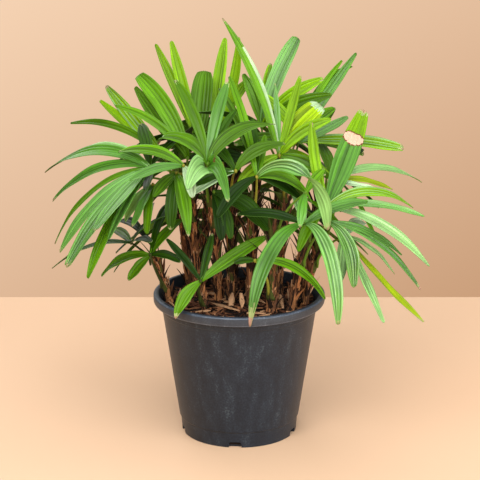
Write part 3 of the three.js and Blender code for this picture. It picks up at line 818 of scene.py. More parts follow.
def make_mulch():
    surface = Surface()
    add_soil(surface)
    rng = random.Random(MULCH_SEED)
    for _ in range(CHIPS):
        reach = CHIP_REACH * math.sqrt(rng.random())
        spot = toward(rng.uniform(0, 360)) * reach
        length = rng.uniform(*(SHORT_CHIP if rng.random() < SHORT_SHARE else LONG_CHIP))
        spot *= min(1, (CHIP_ROOM - length / 2) / max(reach, 1))
        spot[2] = mulch_height(spot[0], spot[1]) + rng.uniform(0.0, 3.5)
        size = (length, rng.uniform(1.5, 3 + length * 0.16), rng.uniform(0.6, 1.8))
        shade = rng.choices([*CHIP_SHADES], CHIP_SHADES.values())[0]
        heading = rng.uniform(0, 360)
        tilt = rng.uniform(-CHIP_TILT, CHIP_TILT)
        add_chip(surface, spot, size, heading, tilt, shade, rng)
    for x, y, length, width, heading, tilt in LITTER:
        rise = length / 2 * math.sin(math.radians(abs(tilt)))
        spot = np.array([x, y, SOIL_TOP + LITTER_HEIGHT + rise])
        size = (length, width, LITTER_THICKNESS)
        add_chip(surface, spot, size, heading, tilt, "mulch_pale", rng)
    surface.make("mulch", ["soil"], sharp=35)


make_mulch()

# ---- Canes

CANE_FOOT = SOIL_TOP + CLEARANCE

# A fine sheath's radius at its foot and its mouth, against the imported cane's.
FINE_THROAT = 0.78
FINE_MOUTH = 0.95


def cane_centre(cane, z):
    """Centre of a cane at each height in z."""
    foot, top, _ = cane
    z = np.asarray(z, float)
    lean = np.maximum((z - CANE_FOOT) / (top[2] - CANE_FOOT), 0) ** CANE_LEAN
    return np.stack([lerp(foot[0], top[0], lean), lerp(foot[1], top[1], lean), z], -1)


def cane_radius(cane, z):
    _, top, radius = cane
    z = np.asarray(z, float)
    along = (z - CANE_FOOT) / (top[2] - CANE_FOOT)
    flare = 1 + (FLARE_FACTOR - 1) * np.clip(1 - (z - CANE_FOOT) / FLARE_HEIGHT, 0, 1.2)
    return lerp(radius[0], radius[1], along) * flare


def cane_skin(cane, z, angle, factor, proud):
    """Points round a cane at heights z and angles, at factor times its radius plus proud."""
    z, angle, factor, proud = np.broadcast_arrays(z, angle, factor, proud)
    radius = cane_radius(cane, z) * factor + proud
    turn = np.radians(angle)
    around = np.stack([np.cos(turn), np.sin(turn), np.zeros_like(turn)], -1)
    return cane_centre(cane, z) + around * radius[..., None]


def sheath_mouths(cane):
    rise = cane[1][2] - CANE_FOOT
    count = math.floor(rise / SHEATH_PITCH + 0.5)
    return [CANE_FOOT + (i + 1) * rise / count for i in range(count)]


def sheaths(names):
    """The names of sheath materials, from their last words."""
    return ["sheath_" + name for name in names.split()]


THREAD_SHADES = sheaths("tan brown dark dark")
HAIR_SHADES = sheaths("tan brown dark")
MATTING_SHADES = sheaths("olive dark dark brown")
TORN_SHADES = sheaths("pale tan tan brown orange dark")
FOOT_SHADES = sheaths("pale orange brown dark")
FOOT_WEIGHTS = [1, 2, 4, 4]
ORANGE_SHADES = sheaths("orange brown orange dark")
CANE_SHADES = [
    sheaths("brown tan brown dark"), sheaths("brown dark orange dark"), ORANGE_SHADES,
    sheaths("dark brown orange"), sheaths("olive brown dark dark"),
]

# How often a cane's sheath has each of them. Olive ones grow commoner by OLIVE_GROWTH
# from foot to top.
CANE_WEIGHTS = (3, 4, 3, 3, 1)
OLIVE_GROWTH = 3

# The canes whose lower sheaths are orange, and the share of the cane that is low.
ORANGE_CANES = (0, 2, 4, 9)
ORANGE_BELOW = 0.75

# A scrap of old sheath: how much it narrows and how late, how ragged its side edges
# are, how far its end runs out in points, and how far it cups.
SCRAP_TAPER = (0.93, 1.4)
SCRAP_RAGGED = 0.25
SCRAP_POINTS = (-0.12, 0.1)
SCRAP_CUP = 0.35

# Scraps by their place: ranges of length and width, of lean and curl, and thickness.
# Matting fills the space between the canes above MATTED_FROM.
MOUTH_SCRAP = (((7, 14), (2.5, 5)), ((0, 12), (0, 24)), 0.5)
MATTING = (((16, 36), (4, 9)), ((4, 26), (-14, 30)), 0.5)
FOOT_SCRAP = (((10, 24), (4, 8)), ((2, 24), (-12, 30)), 0.6)
MATTED_FROM = 205
MATTING_SHEETS = 11
MOUTH_SCRAPS = (2, 3, 3, 4)
FOOT_SCRAPS = 8

# The core inside the sheaths: its radius against the cane's, its rings and its sides.
CORE_SHARE = 0.75
CORE_RINGS = 14
CORE_SIDES = 12

# A sheath goes round a cane a little more than once, and starts a little below the
# mouth of the one under it. Threads lie across it and hairs spring from its mouth.
SHEATH_WRAP = 385
SHEATH_OVERLAP = 3
SHEATH_THICKNESS = 0.6
TORN_NOTCHES = 4
THREADS = 13
THREAD_STEPS = 8
THREAD_SWEEP = (30, 120)
THREAD_RADII = (0.26, 0.1)
HAIRS = 3
HAIR_STEPS = 6
HAIR_RADII = (0.28, 0.1)
ANY_PHASE = (0, 6.3)

# Ranges of a hair's length, lean, curl and the angle at which it leans aside.
HAIR = ((5, 12), (2, 25), (-10, 45), (-70, 70))

# Waves of a sheath's torn edge and of its ridges: height, number round it, and slant.
TORN_WAVES = ((3.0, 1, 0), (1.6, 3, 0))
RIDGE_WAVES = ((0.18, 7, 0.35), (0.144, 11, -0.28), (0.2, 3, 0.07))


def drawn(ranges, rng):
    """A random number from each range."""
    return [rng.uniform(low, high) for low, high in ranges]


def add_scrap(surface, root, azimuth, size, bend, thickness, material, rng):
    """A torn point of dry sheath that stands up and away from the cane."""
    length, width = size
    lean, curl = bend
    rows, columns = 8, 5
    outward = toward(azimuth)
    t = np.linspace(0, 1, rows)
    slope = np.radians(lean + curl * t)
    ways = np.outer(np.cos(slope), UP) + np.outer(np.sin(slope), outward)
    middle = walk(root, ways[:-1] * length / (rows - 1))
    across = np.cross(UP, outward)
    normal = np.cross(across, ways)
    c = np.linspace(-1, 1, columns)
    ragged = 1 - SCRAP_RAGGED * scatter(rng, 0, 1, rows, columns)
    narrowed, power = SCRAP_TAPER
    share = (1 - narrowed * t ** power)[:, None] * np.where(np.abs(c) == 1, ragged, 1)
    slip = (t ** 3)[:, None] * scatter(rng, *SCRAP_POINTS, columns) * length
    x = c * share * width / 2
    cup = -SCRAP_CUP * width * (c * share) ** 2
    face = middle[:, None] + across * x[..., None] + normal[:, None] * cup[..., None]
    face = face + ways[:, None] * slip[..., None]
    back = face - normal[:, None] * thickness
    add_slab(surface, face, back, material, grain_of(c * 2, t[:, None], length))


def sheath_width(t):
    """A fine sheath's radius from its foot to its mouth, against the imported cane's."""
    return lerp(FINE_THROAT, FINE_MOUTH, t ** 1.6)


def mottled(rows, columns, shades, rng):
    """A shade for each cell of a sheath, in upright streaks with ragged ends."""
    cells = []
    line = [rng.choice(shades) for _ in range(columns)]
    for _ in range(rows):
        for i in range(columns):
            if rng.random() < 0.12:
                line[i] = line[i - 1] if rng.random() < 0.5 else rng.choice(shades)
        cells.extend(line)
    return cells


def waves(table, phases, turn, z):
    """The sum of a table's waves round a sheath, at each turn and height."""
    return sum(
        height * np.sin(count * turn + slant * z + phase)
        for (height, count, slant), phase in zip(table, phases))


def add_sheath(surface, cane, low, mouth, rng, shades):
    """One torn sheath, wrapped once round the cane with its edges overlapping."""
    rows, columns = 11, 37
    angle = rng.uniform(0, 360) + np.linspace(0, SHEATH_WRAP, columns)
    turn = np.radians(angle)
    phases = scatter(rng, *ANY_PHASE, len(TORN_WAVES) + len(RIDGE_WAVES))
    torn = waves(TORN_WAVES, phases, turn, 0) + scatter(rng, -1.2, 1.2, columns)
    for _ in range(TORN_NOTCHES):
        torn[rng.randrange(2, columns - 2)] += rng.uniform(2, 6)
    t = np.linspace(0, 1, rows)[:, None]
    z = np.maximum(low + (mouth + torn - low) * t, CANE_FOOT - 1)
    overlap = np.linspace(0, SHEATH_THICKNESS, columns)
    flutter = t ** 4 * scatter(rng, -0.2, 0.8, columns)
    ridges = waves(RIDGE_WAVES, phases[len(TORN_WAVES):], turn, z)
    proud = ridges + overlap + flutter
    outer = cane_skin(cane, z, angle, sheath_width(t), proud)
    inner = cane_skin(cane, z, angle, sheath_width(t), proud - SHEATH_THICKNESS)
    upper = mottled(rows - 2, columns - 1, shades, rng)
    upper += [rng.choice(TORN_SHADES) for _ in range(columns - 1)]
    rim = [rng.choice(TORN_SHADES) for _ in range(2 * (rows - 1) + 2 * (columns - 1))]
    grain = grain_of(turn * 4, z, 1)
    add_slab(surface, outer, inner, [*upper, *upper, *rim], grain)
    for _ in range(THREADS):
        add_thread(surface, cane, low, mouth, rng)


def add_thread(surface, cane, low, mouth, rng):
    """A fibre that crosses a sheath on a slant, unless it would start in the soil."""
    first = rng.uniform(0, 360)
    sweep = rng.choice([-1, 1]) * rng.uniform(*THREAD_SWEEP)
    reach = np.linspace(rng.uniform(0.05, 0.6), rng.uniform(0.7, 1.06), THREAD_STEPS)
    height = low + (mouth - low) * reach
    if height[0] < CANE_FOOT:
        return
    way = first + sweep * np.linspace(0, 1, THREAD_STEPS)
    thread = cane_skin(cane, height, way, sheath_width(np.minimum(reach, 1)), 0.55)
    thick, thin = THREAD_RADII
    radii = [thick] * (THREAD_STEPS - 1) + [thin]
    add_tube(surface, thread, radii, 4, rng.choice(THREAD_SHADES))


def add_hair(surface, cane, z, rng):
    """A loose thread of fibre that springs from a sheath's mouth."""
    azimuth = rng.uniform(0, 360)
    length, lean, curl, aside = drawn(HAIR, rng)
    sway = toward(azimuth + aside)
    points = [cane_skin(cane, z, azimuth, FINE_MOUTH, -0.3)]
    for i in range(HAIR_STEPS):
        slope = math.radians(lean + curl * i / HAIR_STEPS)
        way = math.cos(slope) * UP + math.sin(slope) * sway
        points.append(points[-1] + way * length / HAIR_STEPS)
    radii = np.linspace(*HAIR_RADII, HAIR_STEPS + 1)
    add_tube(surface, points, radii, 3, rng.choice(HAIR_SHADES))


def add_mouth(surface, cane, mouth, rng):
    """The torn points and hairs at a sheath's mouth, and the matting high up."""
    sizes, bends, thickness = MOUTH_SCRAP
    for _ in range(rng.choice(MOUTH_SCRAPS)):
        azimuth = rng.uniform(0, 360)
        root = cane_skin(cane, mouth - 6, azimuth, FINE_MOUTH, -0.5)
        size = drawn(sizes, rng)
        bend = drawn(bends, rng)
        add_scrap(surface, root, azimuth, size, bend, thickness, rng.choice(TORN_SHADES), rng)
    for _ in range(HAIRS):
        add_hair(surface, cane, mouth - rng.uniform(0, 4), rng)
    sizes, bends, thickness = MATTING
    for _ in range(MATTING_SHEETS if mouth > MATTED_FROM else 0):
        azimuth = rng.uniform(0, 360)
        root = cane_skin(cane, mouth - rng.uniform(4, 26), azimuth, FINE_MOUTH, -0.5)
        size = drawn(sizes, rng)
        shade = rng.choice(MATTING_SHADES)
        add_scrap(surface, root, azimuth, size, drawn(bends, rng), thickness, shade, rng)


def add_foot(surface, cane, rng):
    """The loose old leaf bases round a cane's foot."""
    sizes, bends, thickness = FOOT_SCRAP
    for i in range(FOOT_SCRAPS):
        azimuth = i * 360 / FOOT_SCRAPS + rng.uniform(-15, 15)
        root = cane_skin(cane, CANE_FOOT + rng.uniform(-0.5, 13), azimuth, 0.9, 0.1)
        size = drawn(sizes, rng)
        shade = rng.choices(FOOT_SHADES, FOOT_WEIGHTS)[0]
        add_scrap(surface, root, azimuth, size, drawn(bends, rng), thickness, shade, rng)


def make_cane(number, cane):
    surface = Surface()
    rng = random.Random(CANE_SEED + number)
    top = cane[1][2]
    core_z = np.linspace(CANE_FOOT - 0.5, top - 1, CORE_RINGS)
    core_radii = cane_radius(cane, core_z) * CORE_SHARE
    add_tube(surface, cane_centre(cane, core_z), core_radii, CORE_SIDES, "sheath_dark")
    low = CANE_FOOT - 1
    for mouth in sheath_mouths(cane):
        high = (mouth - CANE_FOOT) / (top - CANE_FOOT)
        weights = [*CANE_WEIGHTS[:-1], CANE_WEIGHTS[-1] + OLIVE_GROWTH * high]
        choice = rng.choices(CANE_SHADES, weights)[0]
        if number in ORANGE_CANES and high < ORANGE_BELOW:
            choice = ORANGE_SHADES
        add_sheath(surface, cane, low, mouth, rng, choice)
        add_mouth(surface, cane, mouth, rng)
        low = mouth - SHEATH_OVERLAP
    add_foot(surface, cane, rng)
    name = f"cane_{number + 1:02d}"
    surface.make(name + "_sheaths", [name], sharp=60)


for number, cane in enumerate(CANES):
    make_cane(number, cane)

# ---- Fronds: the source's growth rule


def lehmer(seed):
    """The source's random numbers."""
    state = seed
    while True:
        state = state * LEHMER_FACTOR % LEHMER_MODULUS
        yield state / LEHMER_MODULUS


def back_fronds():
    """The fronds of the far side, with the source's draws of random numbers.

    The source draws two numbers for every tongue of a cane before these.
    """
    draws = lehmer(SEED)
    for _ in range(len(CANES) * TONGUES_PER_CANE * 2):
        next(draws)
    fan = BACK_FAN
    fronds = []
    for count, first, last, reach, height, tilt in BACK_RINGS:
        for i in range(count):
            azimuth = lerp(first, last, i / (count - 1))
            place = toward(azimuth) * reach
            hub = (place[0], place[1], height + fan["scatter"] * (next(draws) - 0.5))
            leaflets = []
            for j in range(fan["count"]):
                turn = fan["spread"] * (j / (fan["count"] - 1) - 0.5)
                length = fan["length"] * (1 - 0.25 * abs(turn / 180) + 0.15 * next(draws))
                aside = fan["scatter"] * (next(draws) - 0.5)
                sag = fan["sag"] * (0.7 + 0.6 * next(draws))
                leaflets.append((turn + aside, length, fan["width"], sag, fan["lift"]))
            gaps = [math.hypot(top[0] - hub[0], top[1] - hub[1]) for _, top, _ in CANES]
            fronds.append((gaps.index(min(gaps)), hub, (azimuth, tilt), leaflets, None))
    return fronds


def rest_of(rest):
    """The leaflets at even turns that fill a fan."""
    if rest is None:
        return []
    first, last, count, length, width, sag = rest
    turns = [lerp(first, last, i / max(1, count - 1)) for i in range(count)]
    return [(turn, length, width, sag, REST_LIFT) for turn in turns]


def fan_axes(face):
    azimuth, tilt = face
    normal = toward(azimuth, 90 - tilt)
    uphill = toward(azimuth + 180, tilt)
    return normal, uphill, np.cross(uphill, normal)


def midrib(hub, axes, leaflet):
    """Points from hub to tip, and the blade's directions along, across and normal there."""
    turn, length, _, sag, lift = leaflet
    normal, uphill, right = axes
    t = math.radians(turn)
    raised = math.radians(lift)
    flat = math.cos(t) * uphill + math.sin(t) * right
    start = math.cos(raised) * flat + math.sin(raised) * normal
    heading = unit(start * (1, 1, 0))
    across_fan = np.cross(flat, normal)
    across_level = np.cross(heading, UP)
    share = np.arange(STEPS + 1) / STEPS
    bent = math.radians(sag) * (1 - (1 - share) ** BEND)
    slope = np.maximum(math.asin(start[2]) - bent, -math.radians(STEEPEST))
    along = np.outer(np.cos(slope), heading) + np.outer(np.sin(slope), UP)
    twist = TWIST * np.minimum(1, np.abs(bent) / (math.pi / 2))[:, None]
    across = square_to((1 - twist) * across_fan + twist * across_level, along)
    point = walk(np.array(hub, float), (along[:-1] + along[1:]) * length / STEPS / 2)
    return point, along, across, np.cross(across, along)


# How near, in millimetres, a packed corner lies to one that was grown in the same way.
MATCH = 0.15


class Corners:
    """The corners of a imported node, to find out which way a part of it was grown."""

    def __init__(self, node):
        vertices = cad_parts[node].data.vertices
        self.tree = KDTree(len(vertices))
        for vertex in vertices:
            self.tree.insert(vertex.co / MM, vertex.index)
        self.tree.balance()

    def hold(self, points):
        return all(self.tree.find(Vector(point))[2] < MATCH for point in points)


def as_packed(corners, hub, axes, leaflet):
    """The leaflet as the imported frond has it, perhaps turned or shortened, or None."""
    turn, length, width, sag, lift = leaflet
    for share in SHORTEN:
        for aside, raised in TURN_ASIDE:
            tried = (turn + aside, length * share, width, sag * share, lift + raised)
            point, _, across, _ = midrib(hub, axes, tried)
            half = width * TIP_WIDTH / 2
            if corners.hold([point[-1] + across[-1] * half, point[-1] - across[-1] * half]):
                return tried
    return None


def petiole_as_packed(corners, cane, hub):
    """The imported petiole's foot, bend, outward direction and azimuth, or None."""
    mouths = [z for z in sheath_mouths(cane) if z < hub[2] - PETIOLE_BELOW_HUB]
    for z in reversed(mouths):
        centre = cane_centre(cane, z)
        aim = math.degrees(math.atan2(hub[1] - centre[1], hub[0] - centre[0]))
        nearest = math.floor(aim * CANE_SIDES / 360 + 0.5)
        for turn in (0, 1, -1, 2, -2, 3):
            azimuth = (nearest + turn) * 360 / CANE_SIDES
            outward = toward(azimuth)
            reach = float(cane_radius(cane, z)) * SHEATH_MOUTH + CLEARANCE + PETIOLE_RADIUS
            foot = centre + outward * reach
            if corners.hold([foot + PETIOLE_RADIUS * toward(azimuth + turned)
                             for turned in (60, 180, 300)]):
                rise = PETIOLE_RISE * (hub[2] - z)
                above = cane_centre(cane, z + rise) - cane_centre(cane, z)
                bend = foot + above + outward * 2 * PETIOLE_RADIUS
                return foot, bend, outward, azimuth
    return None


# ---- Fronds: the finer leaflets


# By the marks of a leaflet: the width of its tip and how late it narrows, the length of
# its teeth, its splits, the height of its waves, and the share from which it is dry.
TIPS = {"p": (0.14, 1.7), "e": (0.4, 2.0), "u": (0.5, 4.0), "": (0.28, 2.5)}
TEETH = {"g": 5.0, "j": 3.0, "": 1.8}
SPLITS = {"X": 2, "x": 1, "": 0}
WAVE_HEIGHTS = {"w": 1.4, "": 0.5}
DRY_FROM = {"T": 0.94, "t": 0.97, "": None}

# Its fold at the far end and how much deeper it is at the root, the height of its ribs
# against their width, and the number of its waves.
FOLD = 0.24
ROOT_FOLD = 0.5
RIB_HEIGHT = 0.19
WAVES = 2.3

# How often a rib's valley gets painted shade and its crest a painted highlight.
VALLEY_SHARE = 0.62
CREST_SHARE = 0.5

# A nick: its place along the blade, its half length and its depth. A dead patch: its
# place, its half length and half width, and how far its two shades reach.
NICK = (0.2, 0.014, 0.62)
DEAD_PATCH = (0.7, 7.5, 12.5)
PATCH_REACH = {"dry_brown": 1.14, "dead_patch": 0.96}

# Where the bright third, the folded end and the bend of the end start, how far the end
# bends down, and how far a rolled blade turns over, in radians.
BRIGHT_FROM = 0.73
FOLDED_FROM = 0.88
BENT_FROM = 0.85
END_BEND = 7
ROLL = 1.25


def by_mark(table, marks):
    """What a table says for the first of its marks that a leaflet has."""
    return table[next((mark for mark in table if mark and mark in marks), "")]


def blade_share(s, marks):
    """Width at s along a blade, as a share of its greatest width."""
    tip, power = by_mark(TIPS, marks)
    if "k" in marks:
        return np.minimum(1, 0.45 + 5 * s) * (1 - 0.82 * s ** 1.5)
    rising = lerp(ROOT_WIDTH, 1, np.sin(math.pi / 2 * np.minimum(s / WIDEST, 1)))
    falling = 1 - (1 - tip) * np.clip((s - WIDEST) / (1 - WIDEST), 0, 1) ** power
    return np.where(s < WIDEST, rising, falling)


def along_midrib(rib, s, length):
    """Point, across and normal at each s, smoothly between the midrib's stations."""
    point, along, across, normal = rib
    x = np.clip(s, 0, 1) * STEPS
    k = np.minimum(x.astype(int), STEPS - 1)
    t = (x - k)[..., None]
    stride = length / STEPS
    spot = (2 * t ** 3 - 3 * t ** 2 + 1) * point[k] + (3 * t ** 2 - 2 * t ** 3) * point[k + 1]
    spot = spot + (t ** 3 - 2 * t ** 2 + t) * along[k] * stride
    spot = spot + (t ** 3 - t ** 2) * along[k + 1] * stride
    return spot, unit(lerp(across[k], across[k + 1], t)), unit(lerp(normal[k], normal[k + 1], t))


def blade_places(ribs, length, width, marks, rng):
    """How far along the blade each of its points lies, with teeth and splits at its end."""
    strips = len(RIB_COLUMNS)
    c = 2 * np.append(np.add.outer(np.arange(ribs), RIB_COLUMNS).ravel(), ribs) / ribs - 1
    valley = np.arange(len(c)) % strips == 0
    blunt = 0.4 * width * TIP_WIDTH
    teeth = by_mark(TEETH, marks) * scatter(rng, 0, 1, len(c)) * np.where(valley, 1, 0.35)
    end = 1 - (blunt * c ** 2 + teeth) / length
    for _ in range(by_mark(SPLITS, marks)):
        end[strips * rng.randrange(1, ribs)] -= rng.uniform(0.14, 0.3)
    rows = LEAF_ROWS * 3 if "d" in marks or "n" in marks else LEAF_ROWS
    s = 1 - (1 - np.linspace(0, 1, rows)) ** 1.12
    return c, s[:, None] * end


def blade_height(c, s, half, ribs, marks, rng):
    """How far a blade's points stand off its plane, from its fold, ribs and waves."""
    fold = FOLD + ROOT_FOLD * np.exp(-s / 0.07)
    crest = 1 - np.abs(1 - (ribs * (c + 1)) % 2)
    height = RIB_HEIGHT * (2 * half / ribs) * crest * np.clip(s / 0.08, 0, 1)
    height = height - fold * half * (1 - np.abs(c))
    phase = np.where(c < 0, rng.uniform(*ANY_PHASE), rng.uniform(*ANY_PHASE))
    wave = by_mark(WAVE_HEIGHTS, marks) * c ** 2 * np.sin(2 * math.pi * WAVES * s + phase)
    height = height + wave * np.clip(2 * s, 0, 1)
    if "o" in marks:
        height = height - END_BEND * np.clip((s - BENT_FROM) / (1 - BENT_FROM), 0, 1) ** 2
    return height


def blade_shades(c, s, half, ribs, length, shade, marks, rng):
    """The shade of every face of a blade's upper side and underside."""
    strips = len(RIB_COLUMNS)
    strip = np.arange(len(c) - 1)
    rib, part = np.divmod(strip, strips)
    face_s = (s[1:, 1:] + s[:-1, :-1]) / 2
    valley_shaded = scatter(rng, 0, 1, ribs + 1) < VALLEY_SHARE
    crest_lit = scatter(rng, 0, 1, ribs) < CREST_SHARE
    tones = [rng.choices([*RIB_TONES], RIB_TONES.values())[0] for _ in range(ribs)]
    upper = np.empty(face_s.shape, dtype=object)
    upper[:] = [tones[r] + shade for r in rib]
    # Painted shade darkens the folds' valleys, and painted highlight lightens their crests and
    # the blade's two margins.
    in_shaded_valley = (part == 0) & valley_shaded[rib] | (part == strips - 1) & valley_shaded[rib + 1]
    upper[:, in_shaded_valley] = "vein_" + shade
    upper[:, (part == 2) & crest_lit[rib]] = "edge_" + shade
    upper[:, [0, -1]] = "edge_" + shade
    # Marks i, l and z lay painted sheen and painted highlight on stripes, one side and a folded
    # end.
    if "i" in marks:
        upper[:, (part == 2) | (part == 1) & (rib % 2 == 0)] = "leaf_satin"
    if "l" in marks:
        upper[(face_s < 0.75) & (c[1:] > 0.5)] = "leaf_silver"
    wander = scatter(rng, -0.04, 0.04, len(strip)) / 2
    if "a" in marks:
        upper[face_s > BRIGHT_FROM + wander] = "leaf_bright"
    if "z" in marks:
        upper[face_s > FOLDED_FROM + wander] = "leaf_silver"
    lower = np.full(face_s.shape, UNDERSIDES.get(shade, "underside_light"), dtype=object)
    dry = by_mark(DRY_FROM, marks) or (0.99 if rng.random() < 0.4 else 2)
    ragged = dry + scatter(rng, -0.02, 0.01, len(strip))
    patch_s, patch_length, patch_width = DEAD_PATCH
    centre_x = (c[1:] * half[1:, 1:] + c[:-1] * half[:-1, :-1]) / 2
    from_patch = np.hypot((face_s - patch_s) * length / patch_length, centre_x / patch_width)
    for side in (upper, lower):
        side[face_s > 2 * ragged - 1] = "tip_pale"
        side[face_s > ragged] = "dry_tan"
        if "d" in marks:
            for patch, reach in PATCH_REACH.items():
                side[from_patch < reach] = patch
    if "n" in marks:
        upper[(np.abs(face_s - NICK[0]) < 0.03) & (c[1:] < -0.1)] = "dry_brown"
    return [*upper.ravel(), *lower.ravel()]


def add_blade(surface, hub, axes, leaflet, look, rng, fuller):
    """A leaflet: a thin closed slab, folded into ribs, with a toothed end."""
    _, length, width, _, _ = leaflet
    width *= fuller
    shade = SHADES[look[0]]
    marks = look[1:]
    ribs = max(2, round(width / RIB_WIDTH))
    c, s = blade_places(ribs, length, width, marks, rng)
    half = width / 2 * blade_share(s, marks)
    if "n" in marks:
        place, reach, depth = NICK
        half = half * (1 - np.where(c < 0, depth * np.exp(-((s - place) / reach) ** 2), 0))
    rolled = ROLL if "r" in marks else rng.uniform(-0.2, 0.2)
    height = blade_height(c, s, half, ribs, marks, rng)
    spot, across, normal = along_midrib(midrib(hub, axes, leaflet), s, length)
    turn = (rolled * s ** 2)[..., None]
    aside = across * np.cos(turn) + normal * np.sin(turn)
    raised = normal * np.cos(turn) - across * np.sin(turn)
    top = spot + aside * (c * half)[..., None] + raised * height[..., None]
    low = top - raised * LEAF_THICKNESS
    shades = blade_shades(c, s, half, ribs, length, shade, marks, rng)
    # The blade's thin rim takes the pale shade, a painted highlight along its edge.
    rim = ["leaf_pale"] * (2 * sum(s.shape) - 4)
    grain = grain_of((c + 1) / 2 * ribs, s, length)
    add_slab(surface, top, low, [*shades, *rim], grain)


# A stalk's radii at foot and hub, and (depth, radius) of its root below the foot.
STALK_RADII = (1.75, 1.15)
STALK_STEPS = 22
STALK_ROOT = ((9, 1.2), (4, 1.7))

# The base that clasps the cane: its height, and how far it reaches round at foot and
# top. The knob at the hub: (height, radius).
CLASP_HEIGHT = 18
CLASP_DEGREES = (75, 14)
KNOB = ((-2.4, 0.7), (-1.4, 1.6), (0, 2.0), (1.4, 1.6), (2.4, 0.7))


def add_petiole(surface, cane, hub, way, material):
    """A stalk with a clasping base at the cane and a small knob at the hub."""
    foot, bend, outward, azimuth = way
    path = bezier(foot, bend, hub, STALK_STEPS)
    (deep, thin), (shallow, thick) = STALK_ROOT
    path = [foot - UP * deep - outward * 0.5, foot - UP * shallow, *path]
    radii = [thin, thick, *np.linspace(*STALK_RADII, STALK_STEPS)]
    add_tube(surface, path, radii, 8, material, first=outward)
    rows, columns = 7, 9
    t = np.linspace(0, 1, rows)[:, None]
    z = foot[2] - 16 + CLASP_HEIGHT * t
    angle = azimuth + np.linspace(-1, 1, columns) * lerp(*CLASP_DEGREES, t ** 0.8)
    outer = cane_skin(cane, z, angle, SHEATH_MOUTH, 1.8 * t - 0.1)
    inner = cane_skin(cane, z, angle, SHEATH_MOUTH, 1.8 * t - 0.9)
    add_slab(surface, outer, inner, "sheath_olive")
    heights, radii = zip(*KNOB)
    add_tube(surface, [hub + UP * height for height in heights], radii, 10, material)


# The canes whose leaf stalks are dark: the small ones at the left and in front.
DARK_STALKS = (0, 10)


def make_frond(number, frond, looks):
    """One frond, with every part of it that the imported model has."""
    cane_number, hub, face, listed, rest = frond
    node = f"frond_{number + 1:02d}"
    cane = CANES[cane_number]
    hub = np.array(hub, float)
    axes = fan_axes(face)
    corners = Corners(node)
    rng = random.Random(FROND_SEED + number)
    surface = Surface()
    way = petiole_as_packed(corners, cane, hub)
    if way is not None:
        stalk = rng.choice(["petiole_green", "petiole_green", "petiole_yellow"])
        stalk = "petiole_dark" if cane_number in DARK_STALKS else stalk
        add_petiole(surface, cane, hub, way, stalk)
    leaflets = [*listed, *rest_of(rest)]
    looks = looks + [rng.choice(BACK_SHADES) for _ in range(len(leaflets) - len(looks))]
    for place, (leaflet, look) in enumerate(zip(leaflets, looks)):
        packed = as_packed(corners, hub, axes, leaflet)
        if packed is not None:
            fuller = 1 if place < len(listed) and number < len(FRONDS) else FULLER
            add_blade(surface, hub, axes, packed, look, rng, fuller)
    surface.make(node + "_leaves", [node])


for number, frond in enumerate([*FRONDS, *back_fronds()]):
    make_frond(number, frond, LOOKS[number].split() if number < len(LOOKS) else [])

# ---- Floor, light and camera

# The floor, from its near edge to the photograph's horizon, and half its width.
FLOOR_NEAR = -3.0
FLOOR_FAR = 0.511
FLOOR_SIDE = 3.0

# The wall grows lighter to the left and upwards, a painted light, over this range of the slope.
WALL_SLOPE = (-1.56, 0, 3.35)
WALL_RANGE = (-1.27, -0.27)
WALL_COLOURS = ("c99d79", "f5d2b2")
ROOM_LIGHT = ("f0e4d8", 0.29)

# Soft lights: place, aim, size, watts and colour.
LIGHTS = {
    "key": ((-0.6, -1.95, 1.9), (0, 0, 0.25), 2.0, 64, (1.0, 0.99, 0.97)),
    "top": ((0.2, -0.2, 2.3), (0, 0, 0.25), 3.0, 30, (1, 1, 1)),
    "fill": ((1.7, -1.5, 0.8), (0, 0, 0.2), 1.8, 40, (0.95, 0.97, 1.0)),
    "back": ((-0.9, 1.9, 1.5), (0, 0, 0.3), 1.6, 18, (1, 1, 1)),
}

# The photograph's camera: its place, its tilt down in degrees and its focal length in
# pixels of the photograph.
CAMERA_PLACE = (0.001, -2.0, 0.809)
CAMERA_TILT = 16
FOCAL_PIXELS = 1761
PHOTO_PIXELS = 480
SENSOR = 36


def make_floor():
    """A plain pale floor that ends where the photograph's horizon is."""
    finish = Finish("floor_pale", 0.7, 0.3)
    finish.colours(finish.noise(1.4, 2.0), [(0.35, linear("e8c19e")), (0.65, linear("ebc6a4"))])
    near = [(-FLOOR_SIDE, FLOOR_NEAR, 0), (FLOOR_SIDE, FLOOR_NEAR, 0)]
    far = [(FLOOR_SIDE, FLOOR_FAR, 0), (-FLOOR_SIDE, FLOOR_FAR, 0)]
    mesh = bpy.data.meshes.new("floor")
    mesh.from_pydata([*near, *far], [], [[0, 1, 2, 3]])
    mesh.materials.append(MATERIALS["floor_pale"])
    floor = add_object("floor", mesh)


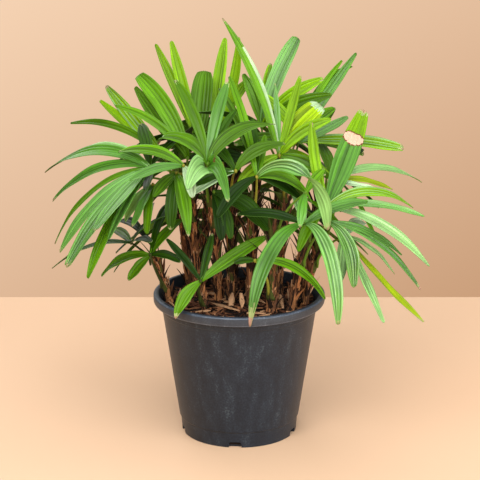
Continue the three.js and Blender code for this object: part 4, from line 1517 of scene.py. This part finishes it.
def make_lights():
    for name, (place, aim, size, watts, colour) in LIGHTS.items():
        light = bpy.data.lights.new(name, "AREA")
        light.shape = "SQUARE"
        light.size = size
        light.energy = watts
        light.color = colour
        holder = add_object(name, light)
        holder.location = place
        holder.rotation_mode = "QUATERNION"
        holder.rotation_quaternion = (Vector(aim) - Vector(place)).to_track_quat("-Z", "Y")


def make_world():
    """A pale wall's colours with painted light, lighter high up and on the left, and a dimmer
    even light.
    """
    world = bpy.data.worlds.new("studio")
    world.use_nodes = True
    tree = world.node_tree
    tree.nodes.clear()
    place, slope, ramp, tone, seen, cast, path, mix, out = [
        tree.nodes.new("ShaderNode" + kind) for kind in (
            "TexCoord", "VectorMath", "MapRange", "ValToRGB", "Background", "Background",
            "LightPath", "MixShader", "OutputWorld")
    ]
    slope.operation = "DOT_PRODUCT"
    slope.inputs[1].default_value = WALL_SLOPE
    ramp.inputs["From Min"].default_value = WALL_RANGE[0]
    ramp.inputs["From Max"].default_value = WALL_RANGE[1]
    for element, colour in zip(tone.color_ramp.elements, WALL_COLOURS):
        element.color = linear(colour)
    cast.inputs["Color"].default_value = linear(ROOM_LIGHT[0])
    cast.inputs["Strength"].default_value = ROOM_LIGHT[1]
    for source, output, target, socket in (
        (place, "Generated", slope, 0), (slope, "Value", ramp, "Value"),
        (ramp, "Result", tone, "Fac"), (tone, "Color", seen, "Color"),
        (path, "Is Camera Ray", mix, "Fac"), (cast, "Background", mix, 1),
        (seen, "Background", mix, 2), (mix, "Shader", out, "Surface"),
    ):
        tree.links.new(source.outputs[output], target.inputs[socket])
    bpy.context.scene.world = world


def make_camera():
    """The photograph's view, from straight in front and above."""
    camera = bpy.data.cameras.new("camera")
    camera.sensor_width = SENSOR
    camera.lens = SENSOR * FOCAL_PIXELS / PHOTO_PIXELS
    camera.clip_start = 0.1
    camera.clip_end = 20
    holder = add_object("camera", camera)
    holder.location = CAMERA_PLACE
    holder.rotation_euler = (math.radians(90 - CAMERA_TILT), 0, 0)
    bpy.context.scene.camera = holder


make_floor()
make_world()
make_camera()
make_lights()
bpy.context.scene.view_settings.view_transform = "Standard"
